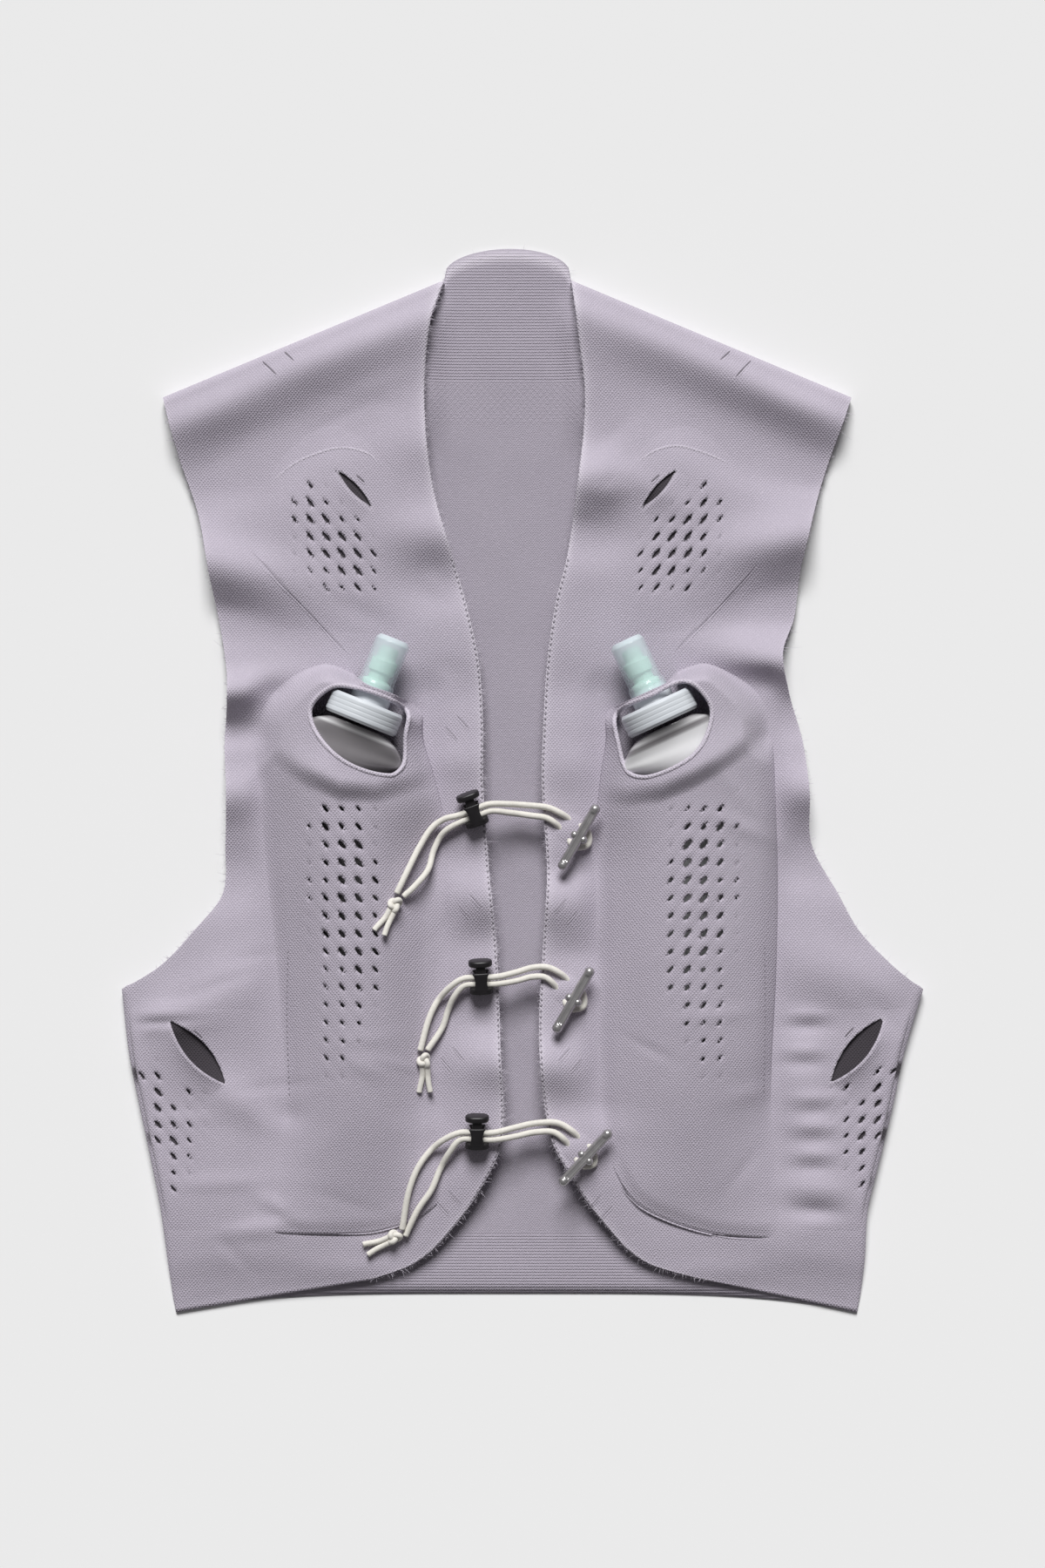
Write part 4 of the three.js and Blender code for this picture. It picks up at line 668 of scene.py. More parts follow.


front_finish = knit_finish("front_knit", {"Across": 2.0, "Down": 2.4, "Fluff": 0.7}, relief=0.6)
back_finish = knit_finish(
    "back_knit", {"Across": 1.6, "Down": 1.9, "Fluff": 0.9}, relief=0.5, bands=0.5, tint=0.86)
points, faces, raw, thin = back_surface()
back = thicken(lay_mesh("back_knit", points, faces, back_finish, {"raw": raw}, closed=False), KNIT, thin)
worn_on(back, "vest", "knit", "back_panel")
fronts = {}
for side in SIDES:
    points, faces, raw, thin = front_surface(side)
    values = {"raw": raw, "painted_shade": 0 * raw}
    front = lay_mesh(f"front_{side}_knit", points, faces, front_finish, values, closed=False)
    fronts[side] = worn_on(thicken(front, KNIT, thin), "vest", "knit", f"front_{side}")

# Raw edges
# Cut yarn ends stand out of the raw edges of the fronts, the neck and the armholes as short pale hairs. They
# are part of the knit, and some are pulled long.
FIBRE_RADIUS = 0.17
FIBRE_ROOT = 1.1                # share of that radius at the root
FIBRE_TAPER = 0.8               # and the share that is lost towards the tip
FIBRE_RINGS = 5
FIBRE_SIDES = 3
FIBRES_PER_MM = 1.5
ARMHOLE_FIBRES = 0.35           # share of them at the armholes
FIBRE_LENGTH = (0.8, 2.6)
LONG_FIBRE = 2.2                # times the length, for the long ones
LONG_FIBRE_SHARE = 0.06
FIBRE_STRAY = 0.55
STRAY_SHARES = (1, 1, 0.5)      # of that in x, y and z
FIBRE_CURL = 0.45
FIBRE_SUNK = 0.2                # share of a hair inside the knit
FIBRE_INSET = 0.3               # of the line on the knit whose level the roots take
EDGE_STEPS = {"front": 400, "armhole": 300, "neck": 200}
ARMHOLE_SPAN = (0.02, 0.98)
HAIR_RAW = 0.8


def ring_angles(sides):
    """Equal angles round a ring, from 0."""
    return 2 * np.pi * np.arange(sides) / sides


def fibres(roots, outward):
    """Hairs from roots, as thin tapered tubes along root + outward * length * (t - sunk) + curl * t^2."""
    count = len(roots)
    t = np.linspace(0, 1, FIBRE_RINGS)[None, :, None]
    length = chance.uniform(*FIBRE_LENGTH, (count, 1, 1))
    length = length * np.where(chance.random((count, 1, 1)) < LONG_FIBRE_SHARE, LONG_FIBRE, 1)
    aim = outward + chance.normal(0, FIBRE_STRAY, (count, 3)) * STRAY_SHARES
    curl = chance.normal(0, FIBRE_CURL, (count, 1, 3))
    spine = roots[:, None] + aim[:, None] * length * (t - FIBRE_SUNK) + curl * length * t * t
    angle = ring_angles(FIBRE_SIDES)
    side = np.stack([-aim[:, 1], aim[:, 0], 0 * aim[:, 0]], axis=-1)
    side /= np.linalg.norm(side, axis=1, keepdims=True)
    ring = np.cos(angle)[:, None] * side[:, None, None] + np.sin(angle)[:, None] * np.array([0, 0, 1.0])
    spine[..., 2] = np.maximum(spine[..., 2], FIBRE_RADIUS)
    points = spine[:, :, None] + ring * FIBRE_RADIUS * (FIBRE_ROOT - FIBRE_TAPER * t[..., None])
    one = grid_faces(FIBRE_RINGS, FIBRE_SIDES, wrap=True)
    starts = np.arange(count)[:, None, None] * FIBRE_RINGS * FIBRE_SIDES
    caps = np.array([range(FIBRE_SIDES), range((FIBRE_RINGS - 1) * FIBRE_SIDES, FIBRE_RINGS * FIBRE_SIDES)])
    quads = (one[None] + starts).reshape(-1, 4)
    ends = (caps[None] + starts).reshape(-1, FIBRE_SIDES)
    return points.reshape(-1, 3), list(quads) + list(ends)


def run_along(points):
    """The distance run along a polyline at each of its points."""
    return np.concatenate([[0], np.cumsum(np.linalg.norm(np.diff(points, axis=0), axis=1))])


def along_edge(points, spread):
    """Random roots along a polyline given as rows of x, y, z, and the unit directions to its right-hand side.
    spread is a share of the usual number."""
    run = run_along(points[:, :2])
    s = np.sort(chance.uniform(0, run[-1], int(run[-1] * FIBRES_PER_MM * spread)))
    roots = np.stack([np.interp(s, run, points[:, k]) for k in range(3)], axis=-1)
    ahead = np.stack([np.interp(s + 0.5, run, points[:, k]) - np.interp(s - 0.5, run, points[:, k])
                      for k in range(2)], axis=-1)
    ahead /= np.maximum(np.linalg.norm(ahead, axis=1, keepdims=True), 1e-9)
    return roots, np.stack([ahead[:, 1], -ahead[:, 0], 0 * s], axis=-1)


def front_hairs(side, table, shares, way, spread):
    """The hairs of one edge of a front, which stand out of it towards way in x."""
    plan = edge_point(table, side, shares)
    level = front_height(plan[:, 0] - way * FIBRE_INSET, plan[:, 1], side)
    roots, outward = along_edge(np.column_stack([plan, level]), spread)
    return fibres(roots, way * outward)


hair_parts = []
for side in SIDES:
    way = TO_MIDDLE[side]
    shares = np.linspace(0, 1, EDGE_STEPS["front"])
    hair_parts.append(front_hairs(side, FRONT_EDGE, shares, way, 1.0))
    shares = np.linspace(*ARMHOLE_SPAN, EDGE_STEPS["armhole"])
    hair_parts.append(front_hairs(side, ARMHOLE_EDGE, shares, -way, ARMHOLE_FIBRES))
plan = neck_line(np.linspace(*NECK_SHARES, EDGE_STEPS["neck"]))
roots, outward = along_edge(np.column_stack([plan, np.full(len(plan), KNIT / 2)]), 1.0)
hair_parts.append(fibres(roots, -outward))
hair_points, hair_faces = joined(hair_parts)
hair_raw = np.full(len(hair_points), HAIR_RAW)
hairs = lay_mesh("raw_edge_hairs", hair_points, hair_faces, front_finish, {"raw": hair_raw})
worn_on(hairs, "vest", "knit")

# Chest and hip pockets
# Layers knitted into the fronts, flush at their borders, with a slit mouth whose lower lip stands open. The
# slanted eyelets are each in a small dimple. The knit is the fronts' own, and shade is painted in the openings
# and on the fronts behind them.
POCKET_KNIT = 1.3
LAYER_SUNK = -0.8               # of a layer's middle at its border, from the top of the front
LAYER_CLEAR = 0.25              # and well inside it
GRID_PITCH = 0.95
CHEST_BLEND = 30                # distance from the border over which a layer comes clear of the front
HIP_BLEND = 24
HIP_FOLD_BLEND = 2.5            # and from the rolled side
CHEST_CROWN = 40
CHEST_POCKETS = {
    "right": {
        "corners": [(-168, 96), (-72, 92), (-72, 190), (-170, 188)], "slit": (-106.8, 185.6, 34, 7.4, -47),
    },
    "left": {"corners": [(54, 92), (148, 96), (150, 188), (54, 190)], "slit": (86.9, 185.6, 34, 7.4, 48)},
}
# Lips of a mouth: the swell of the layer, the lower lip's rise, the fall of the knit inside, and the open gap.
CHEST_LIPS = {"pouch": 0.7, "gape": 1.0, "dip": 1.6, "gap": 5.2}
HIP_POCKETS = {
    "right": {"low": (-168, -284), "high": (-158, -140), "slit": (-205, -169.5, 53, 13.5, -49)},
    "left": {"low": (168, -284), "high": (158, -140), "slit": (211.5, -168, 53, 13.5, 51)},
}
HIP_LIPS = {"pouch": 0.7, "gape": 6.0, "dip": 0.0, "gap": 13.5}
HIP_INSET = 2.2
# Charts of the right-hand fields: a row for each row of eyelets, from the top, and from the side to the middle
# of the vest a sign for each eyelet's size in tenths, where A is ten. The left-hand fields are mirrored.
CHEST_CHART = ["063000", "685400", "689650", "489983", "479996", "355895", "036575"]
HIP_CHART = ["03000", "77000", "09064", "08643", "08863", "07952", "00750", "00640", "00600"]
CHEST_FIELD = {"right": (-119.2, 156.3), "left": (99.5, 156.3), "across": 10.0, "down": 10.75}
HIP_FIELD = {"right": (-220.6, -215), "left": (214.6, -212), "across": 9.9, "down": 10.2}
CHEST_EYELET = (10.2, 2.5)      # length and width
HIP_EYELET = (9.0, 2.7)
EYELET_TURN = {"right": -50, "left": 50}
EYELET_STRETCH = 0.7            # power of the size that an eyelet's length goes with
DARKEST = 0.95                  # painted shade value of the knit behind an opening
SMALLEST_CUT = 0.5              # smaller eyelets are dimples without a hole
SHADE_DEPTH = 0.5               # distance into an opening over which its painted shade comes up
UNDER_SHADE = (2, 6)            # distances from an opening between which the painted shade of the front under it ends
LIP_BLEND = 5                   # distance across a slit over which the lower lip passes into the upper one
LIP_REACH = 9
UPPER_LIP = 0.15                # rise of the upper lip, as a share of the lower one's
THINNEST_SLIT = 0.1
SLIT_RAW = {"most": 0.35, "reach": 1.2}
OUTLINE_STEPS = 24
DIMPLE = {"depth": 0.5, "reach": 1.4}
GROOVE = {"depth": 0.35, "along": 6.5, "across": 1.2}


def eyelet_field(chart, field, side, eyelet):
    """Rows of x, y, length, width, turn and size for a field of eyelets on a plain grid about its middle."""
    size = np.array([[int(digit, 16) for digit in row] for row in chart]) / 10.0
    size = size if side == "right" else size[:, ::-1]
    rows, columns = size.shape
    j, i = np.meshgrid(np.arange(columns), np.arange(rows))
    x = field[side][0] + (j - (columns - 1) / 2) * field["across"]
    y = field[side][1] + ((rows - 1) / 2 - i) * field["down"]
    turn = np.full(size.shape, EYELET_TURN[side])
    slits = np.stack([x, y, eyelet[0] * size ** EYELET_STRETCH, eyelet[1] * size, turn, size], axis=-1)
    return slits[size > 0]


def in_slit(x, y, slit):
    """Places along and across a slit, and how far a point is outside its lens, which is
    |across| = width / 2 * (1 - (2 along / length)^2)."""
    length, width, turn = slit[2:5]
    along, across = turned_axes(x, y, slit, turn)
    half = width / 2 * (1 - np.minimum(np.abs(2 * along / length), 1) ** 2)
    beyond = np.maximum(np.abs(along) - length / 2, 0)
    outside = np.hypot(np.maximum(np.abs(across) - half, 0), beyond) - (np.abs(across) < half) * half
    return along, across, outside


def cut_slits(plan, faces, slits):
    """Holes in a grid: quads with their middle inside a slit go, and the corners left round it slide on to its
    outline."""
    keep = np.ones(len(faces), bool)
    for slit in slits:
        slit_x, slit_y, length, width, turn = slit[:5]
        near = np.hypot(*(plan[faces[:, 0]] - [slit_x, slit_y]).T) < length
        middle = plan[faces[near]].mean(axis=1)
        _, _, outside = in_slit(middle[:, 0], middle[:, 1], slit)
        gone = np.zeros(len(faces), bool)
        gone[near] = outside < 0
        rim = np.intersect1d(faces[gone], faces[near & ~gone])
        along, across, _ = in_slit(plan[rim, 0], plan[rim, 1], slit)
        along = np.clip(along, -length / 2, length / 2)
        across = np.where(across < 0, -1, 1) * width / 2 * (1 - (2 * along / length) ** 2)
        c, s = np.cos(np.radians(turn)), np.sin(np.radians(turn))
        plan[rim] = np.column_stack([slit_x + along * c - across * s, slit_y + along * s + across * c])
        keep &= ~gone
    return faces[keep]


def drop_loose(points, faces):
    """Only the points that faces use, renumbered, and the numbers that those had."""
    used, number = np.unique(faces, return_inverse=True)
    return points[used], number.reshape(faces.shape), used


def dimples(x, y, slits):
    """How deep points lie round eyelets, in a dimple depth * size * exp(-(outside / reach)^2) and a groove
    that goes on past both ends, and the shade painted inside them for their shadow."""
    depth, painted_shade = np.zeros(len(x)), np.zeros(len(x))
    for slit in slits:
        near = np.flatnonzero(np.abs(x - slit[0]) + np.abs(y - slit[1]) < 3 * GROOVE["along"])
        along, across, outside = in_slit(x[near], y[near], slit)
        bowl = DIMPLE["depth"] * np.exp(-(np.maximum(outside, 0) / DIMPLE["reach"]) ** 2)
        groove = GROOVE["depth"] * np.exp(-(along / GROOVE["along"]) ** 2 - (across / GROOVE["across"]) ** 2)
        depth[near] = np.maximum(depth[near], slit[5] * np.maximum(bowl, groove))
        # Painted shade inside each eyelet, and a dark spot where the eyelet is only a dimple.
        painted_shade[near] = np.maximum(painted_shade[near], DARKEST * slit[5] * smooth(-outside / SHADE_DEPTH))
    return depth, painted_shade


def darken_under(front, slits):
    """Paints shade on to a front's points under the openings of a pocket, where little light reaches."""
    place = np.empty(len(front.data.vertices) * 3, np.float32)
    front.data.vertices.foreach_get("co", place)
    x, y = place.reshape(-1, 3)[:, :2].T / MM
    painted_shade = np.empty(len(x), np.float32)
    values = front.data.attributes["painted_shade"].data
    values.foreach_get("value", painted_shade)
    for slit in slits:
        painted_shade = np.maximum(painted_shade, DARKEST * (1 - between(in_slit(x, y, slit)[2], *UNDER_SHADE)))
    values.foreach_set("value", painted_shade.astype(np.float32))


def chest_edges(side):
    """The four edges of a chest pocket, bottom, arched top and two sides, and their blends."""
    low_from, low_to, high_to, high_from = np.array(CHEST_POCKETS[side]["corners"], float)

    def top(t):
        points = line_between(high_from, high_to)(t)
        points[..., 1] += CHEST_CROWN * np.sin(np.pi * np.asarray(t))
        return points

    start, end = line_between(low_from, high_from), line_between(low_to, high_to)
    return (line_between(low_from, low_to), top, start, end), (CHEST_BLEND,) * 4


def hip_edges(side):
    """The four edges of a hip pocket, one of which keeps a step inside the rolled side, and their blends."""
    low, high = np.array(HIP_POCKETS[side]["low"], float), np.array(HIP_POCKETS[side]["high"], float)

    def by_the_fold(t):
        y = low[1] + (high[1] - low[1]) * np.asarray(t, float)
        x = at_height(SIDE_EDGE, side, y)
        return np.stack([x - np.sign(x) * HIP_INSET, y], axis=-1)

    foot, head = by_the_fold(np.zeros(1))[0], by_the_fold(np.ones(1))[0]
    if side == "right":
        edges = line_between(foot, low), line_between(head, high), by_the_fold, line_between(low, high)
        return edges, (HIP_BLEND, HIP_BLEND, HIP_FOLD_BLEND, HIP_BLEND)
    edges = line_between(low, foot), line_between(high, head), line_between(low, high), by_the_fold
    return edges, (HIP_BLEND, HIP_BLEND, HIP_BLEND, HIP_FOLD_BLEND)


def layer_height(x, y, side, edges, blends, lips, slit):
    """Middle surface of a layer on the front, and the shade painted in its mouth. It rises from its sunk
    border by the product of a smooth step off each edge and swells a little. Round its slit the lower lip
    gapes, while the knit inside dips under the upper lip, where shade is painted on it."""
    t = np.linspace(0, 1, OUTLINE_STEPS)
    steps = [smooth(distance_to_path(x, y, edge(t)) / blend) for edge, blend in zip(edges, blends)]
    inside = np.prod(steps, axis=0)
    along, across, outside = in_slit(x, y, slit)
    middle = np.clip(1 - (2 * along / slit[2]) ** 2, 0, 1)
    half = np.maximum(slit[3] / 2 * middle, THINNEST_SLIT)
    into = smooth((across + half) / (2 * half)) * (outside < 0)
    lower = smooth(0.5 - across / LIP_BLEND)
    gape = lips["gape"] * (UPPER_LIP + (1 - UPPER_LIP) * lower) * middle
    gape = gape * np.exp(-np.maximum(outside, 0) / LIP_REACH)
    z = front_height(x, y, side) + KNIT / 2 + LAYER_SUNK + (LAYER_CLEAR - LAYER_SUNK) * np.sqrt(inside)
    z = z + lips["pouch"] * inside + np.sqrt(inside) * gape - lips["dip"] * into
    # Painted shade in the mouth, where the knit dips under the upper lip.
    return z, DARKEST * into * (lips["dip"] > 0)


def pocket_layer(side, edges, blends, lips, slit, eyelets):
    """Points, faces and values of a chest or hip pocket: a patch with its slit and eyelets cut."""
    bottom, top, start, end = edges
    ends = np.array([0.0, 1.0])
    width, length = (np.linalg.norm(np.diff(edge(ends), axis=0)) for edge in (bottom, start))
    u, v = np.meshgrid(*(np.linspace(0, 1, int(size / GRID_PITCH)) for size in (width, length)))
    plan = blended_patch(bottom, top, start, end, u, v).reshape(-1, 2)
    turn = np.radians(slit[4])
    shift = (slit[3] - lips["gap"]) / 2
    gap_at = (slit[0] - shift * np.sin(turn), slit[1] + shift * np.cos(turn))
    gap = (*gap_at, slit[2] - 2 * shift, lips["gap"], slit[4])
    cuts = eyelets[eyelets[:, 5] >= SMALLEST_CUT]
    faces = cut_slits(plan, grid_faces(*u.shape), [gap, *cuts])
    x, y = plan.T
    z, dark = layer_height(x, y, side, edges, blends, lips, slit)
    depth, painted_shade = dimples(x, y, eyelets)
    raw = SLIT_RAW["most"] * np.exp(-(np.abs(in_slit(x, y, gap)[2]) / SLIT_RAW["reach"]) ** 2)
    points, faces, used = drop_loose(np.column_stack([x, y, z - depth]), faces)
    return points, faces, {"raw": raw[used], "painted_shade": np.maximum(dark, painted_shade)[used]}


upper_layers = {side: [
    ("chest", *chest_edges(side), CHEST_LIPS, CHEST_POCKETS[side]["slit"]),
    ("hip", *hip_edges(side), HIP_LIPS, HIP_POCKETS[side]["slit"]),
] for side in SIDES}
UPPER_FIELDS = {"chest": (CHEST_CHART, CHEST_FIELD, CHEST_EYELET), "hip": (HIP_CHART, HIP_FIELD, HIP_EYELET)}
for side in SIDES:
    for place, edges, blends, lips, slit in upper_layers[side]:
        chart, field, eyelet = UPPER_FIELDS[place]
        eyelets = eyelet_field(chart, field, side, eyelet)
        points, faces, values = pocket_layer(side, edges, blends, lips, slit, eyelets)
        layer = lay_mesh(f"{place}_pocket_{side}_knit", points, faces, front_finish, values, closed=False)
        worn_on(thicken(layer, POCKET_KNIT), "vest", "pocket_knit", f"{place}_pocket_{side}")
        # Painted shade on the front under the pocket's slit and eyelets.
        darken_under(fronts[side], [slit, *eyelets])

# Flask pockets
# Outer layers knitted in one with the fronts, from a seam near the hem up to a D-shaped mouth with a rolled
# rim and a free strap over the cap. Each is stretched over its flask and creased under the mouth.
POCKET_CRISP = 0.75             # power of the bulge at the left pocket's outer side, which is creased
POCKET_SOFT = 1.6               # and of that side below the crease
CREASE_END = -205               # height about which that crease ends, and the length over which it does
CREASE_FADE = 70
MOUTH_FROM = -30                # height about which the inner side becomes steep, and the length
MOUTH_FADE = 50
HOOD = {"rise": 6.5, "reach": 17, "drop": 15}
TOP_FALL = (9, 21)              # distances over which the bulge ends at its top, by the strap and far from it
TOP_FALL_REACH = 45
STRAP_END_FALL = 10             # and at the inner end of the strap
FLASK_PITCH = 1.1
PLAIN_PITCH = 2.4               # of the grid below the eyelets
PLAIN_TO = -192
FLASK_BLEND = 13
FOOT_BLEND = 10
FLASK_CLEAR = 0.8
RIM_RADIUS = 1.5
RIM_SIDES = 12
RIM_RAW = 0.45
MOUTH_STEP = 0.8
ROUTE_STEP = 0.5                # of the foot and top lines that the grid follows
LINE_STEP = 5                   # of the foot and top lines that distances are taken from
WIDEST = 4                      # row of a pocket's table that its number of columns goes by
POCKET_ROWS = [-290, -240, -197, -120, -60, -20, 8, 28, 45, 66]
FLASK_POCKETS = {
    "right": {
        "y": POCKET_ROWS,
        "outer": [-163, -157, -151, -156, -162, -166, -169, -171, -170, -168],
        "inner": [-46, -50, -49, -47, -47, -50, -57, -63, -63, -62],
        "middle": [-105, -104, -103, -105, -109, -113, -114, -106, -99, -90.5],
        "mouth": [(-133, 47), (-119.5, 60.6), (-105, 60.4), (-83, 53), (-72, 44.5), (-73.6, 30), (-74.6, 12),
                  (-83, 5.2), (-108.5, 12.4), (-127, 29)],
        "top": [(-171, 31), (-168, 46), (-158, 60), (-142, 71), (-124, 76), (-107, 69.5), (-97, 62.2),
                (-82, 56.8), (-71.5, 51.5), (-63, 46)],
        "foot": [(-162, -284), (-130, -285), (-97, -284), (-70, -277), (-49, -262)],
        "crease": [(-175, 28), (-162.9, 23), (-137.7, 6.2), (-113.8, -4.3), (-91.4, -5.1), (-74.5, -0.8),
                   (-58, 4)],
        "cap": (-99.2, 44.6),
        "lean": 22,
        "powers": (POCKET_SOFT, POCKET_SOFT, 0.8, 2.0),
    },
    "left": {
        "y": POCKET_ROWS,
        "outer": [164, 162, 157, 160, 161, 160, 159, 158, 157, 156],
        "inner": [60, 56, 48, 46, 46, 47, 50, 53, 52, 50],
        "middle": [106, 105, 103, 104, 105, 105.5, 102, 93.5, 85.7, 76],
        "mouth": [(59, 44), (80, 55.5), (102.5, 64), (117.7, 49), (115, 30.2), (104.2, 15.8), (79.2, 4.4),
                  (66.2, 7.4), (60.5, 25)],
        "top": [(158, 32), (156, 47), (147, 61), (132, 71), (115, 76.5), (98.5, 71), (90, 63.4), (80, 58.5),
                (65, 51.8), (57, 48.5), (52, 44)],
        "foot": [(164, -288), (121, -284.4), (85.3, -272.6), (68.6, -260.7), (56, -240)],
        "crease": [(45, -6), (65.9, -7.9), (87, -5.1), (106.6, 3.4), (126.3, 14.6), (145.9, 28.6), (165, 36)],
        "cap": (85.7, 44.7),
        "lean": -25,
        "powers": (POCKET_CRISP, POCKET_SOFT, 0.8, 1.3),
    },
}
TOP_JOINED = 6                  # points of the top line that are knitted to the front; the rest is the strap
POCKET_BULGE = {
    "y": [-292, -275, -262, -250, -225, -200, -165, -110, -60, -20, 0, 30, 66],
    "bulge": [0, 2.2, 4.8, 7.6, 13.2, 18, 22.5, 27.5, 30.2, 32, 33.5, 38, 40],
}
FLASK_CHART = [
    "300000", "276540", "597740", "479A42", "479A52", "569972", "579960", "379860", "389860",
    "369870", "056860", "056760", "056630", "055500", "055400", "055200", "044000",
]
FLASK_FIELD = {"right": (-107.8, -93.8), "left": (108.3, -93.8), "across": 10.3, "down": 11.2}
FLASK_EYELET = (8.6, 3.0)


def smooth_route(points, step, closed=False):
    """A smooth line through points, sampled about every step: cubic pieces over the chord length, each with
    the slope of the chord past its point."""
    points = np.asarray(points, float)
    if closed:
        points = np.concatenate([points[-3:], points, points[:4]])
    chord = run_along(points)
    table = {"y": chord, **{axis: points[:, axis] for axis in range(points.shape[1])}}
    first, last = (chord[3], chord[-4]) if closed else (0, chord[-1])
    s = np.linspace(first, last, int((last - first) / step) + 1)
    line = np.stack([at_height(table, axis, s) for axis in range(points.shape[1])], axis=-1)
    return line[:-1] if closed else line


def pocket_line(side, name):
    """The foot or top line of a flask pocket, with its two ends on the pocket's sides."""
    pocket = FLASK_POCKETS[side]
    line = np.array(pocket[name], float)
    for end, column in ((0, "outer"), (-1, "inner")):
        line[end, 0] = at_height(pocket, column, line[end, 1])
    return line


joined_tops = {side: smooth_route(pocket_line(side, "top")[:TOP_JOINED], LINE_STEP) for side in SIDES}


def pocket_rise(x, y, side):
    """How far a flask pocket stands off its bed: bulge(y) * (1 - share^2)^power across, with a ridge over its
    crease. It comes down to the front along the joined stretch of its top line and at the strap's end."""
    pocket = FLASK_POCKETS[side]
    middle, outer, inner = (at_height(pocket, column, y) for column in ("middle", "outer", "inner"))
    on_outer = (x - middle) * (outer - middle) > 0
    share = np.minimum(np.abs((x - middle) / np.where(on_outer, outer - middle, inner - middle)), 1)
    outer_high, outer_low, inner_high, inner_low = pocket["powers"]
    outer_power = outer_low + (outer_high - outer_low) * smooth((y - CREASE_END) / CREASE_FADE + 0.5)
    inner_power = inner_low + (inner_high - inner_low) * smooth((y - MOUTH_FROM) / MOUTH_FADE + 0.5)
    full = (1 - share ** 2) ** np.where(on_outer, outer_power, inner_power)
    from_strap = smooth(np.abs(x - joined_tops[side][-1, 0]) / TOP_FALL_REACH)
    fall = TOP_FALL[0] + (TOP_FALL[1] - TOP_FALL[0]) * from_strap
    full = full * smooth(distance_to_path(x, y, joined_tops[side]) / fall)
    full = full * smooth(distance_to_path(x, y, pocket_line(side, "top")[-2:]) / STRAP_END_FALL)
    crease = np.array(sorted(pocket["crease"]), float)
    over = y - np.interp(x, crease[:, 0], crease[:, 1])
    hood = HOOD["rise"] * np.exp(-(over / HOOD["reach"]) ** 2) * smooth(over / HOOD["drop"] + 0.5)
    return (at_height(POCKET_BULGE, "bulge", y) + hood) * full


def inside_outline(x, y, outline):
    """Whether points are inside a closed outline, by the crossings of a line from each point to +X."""
    inside = np.zeros(np.shape(x), bool)
    for (ax, ay), (bx, by) in zip(outline, np.roll(outline, -1, axis=0)):
        if ay != by:
            inside ^= ((ay > y) != (by > y)) & (x < ax + (y - ay) * (bx - ax) / (by - ay))
    return inside


def flask_layer_height(x, y, side):
    """Middle surface of a flask pocket: the front's top, the layer's lift from its border, and the bulge."""
    pocket = FLASK_POCKETS[side]
    foot = smooth_route(pocket_line(side, "foot"), LINE_STEP)
    inside = smooth(distance_to_path(x, y, foot) / FOOT_BLEND)
    inside = inside * smooth(distance_to_path(x, y, joined_tops[side]) / FLASK_BLEND)
    for column in ("outer", "inner"):
        inside = inside * smooth(np.abs(x - at_height(pocket, column, y)) / FLASK_BLEND)
    lift = LAYER_SUNK + (FLASK_CLEAR - LAYER_SUNK) * inside
    return front_height(x, y, side) + KNIT / 2 + lift + pocket_rise(x, y, side)


def tube_faces(rows, sides):
    """Faces of rings of points, one after another, with a flat face on the first and the last."""
    ends = [np.arange(sides), np.arange((rows - 1) * sides, rows * sides)]
    return list(grid_faces(rows, sides, wrap=True)) + ends


def carried_ring(path, radius, sides, closed=False, flat=1.0):
    """Points and faces of a tube: a ring carried along a path, level across. Its radius is a number, or an
    array by path point and angle. Its height is flat times its width."""
    count = len(path)
    ahead = np.roll(path, -1, axis=0) - np.roll(path, 1, axis=0) if closed else np.gradient(path, axis=0)
    side = np.cross(ahead, [0, 0, 1.0])
    side /= np.maximum(np.linalg.norm(side, axis=1, keepdims=True), 1e-9)
    up = np.cross(side, ahead)
    up /= np.maximum(np.linalg.norm(up, axis=1, keepdims=True), 1e-9)
    angle = ring_angles(sides)
    radius = np.broadcast_to(np.asarray(radius, float), (count, sides))[..., None]
    ring = np.cos(angle)[None, :, None] * side[:, None] + flat * np.sin(angle)[None, :, None] * up[:, None]
    points = (path[:, None] + radius * ring).reshape(-1, 3)
    if not closed:
        return points, tube_faces(count, sides)
    last = (count - 1) * sides
    k = np.arange(sides)
    seam = np.column_stack([last + k, last + (k + 1) % sides, (k + 1) % sides, k])
    return points, list(grid_faces(count, sides, wrap=True)) + list(seam)


def route_line(points):
    """The smooth line through points as a function of its share t."""
    line = smooth_route(points, ROUTE_STEP)
    share = np.linspace(0, 1, len(line))
    return lambda t: np.stack([np.interp(t, share, line[:, axis]) for axis in range(2)], axis=-1)


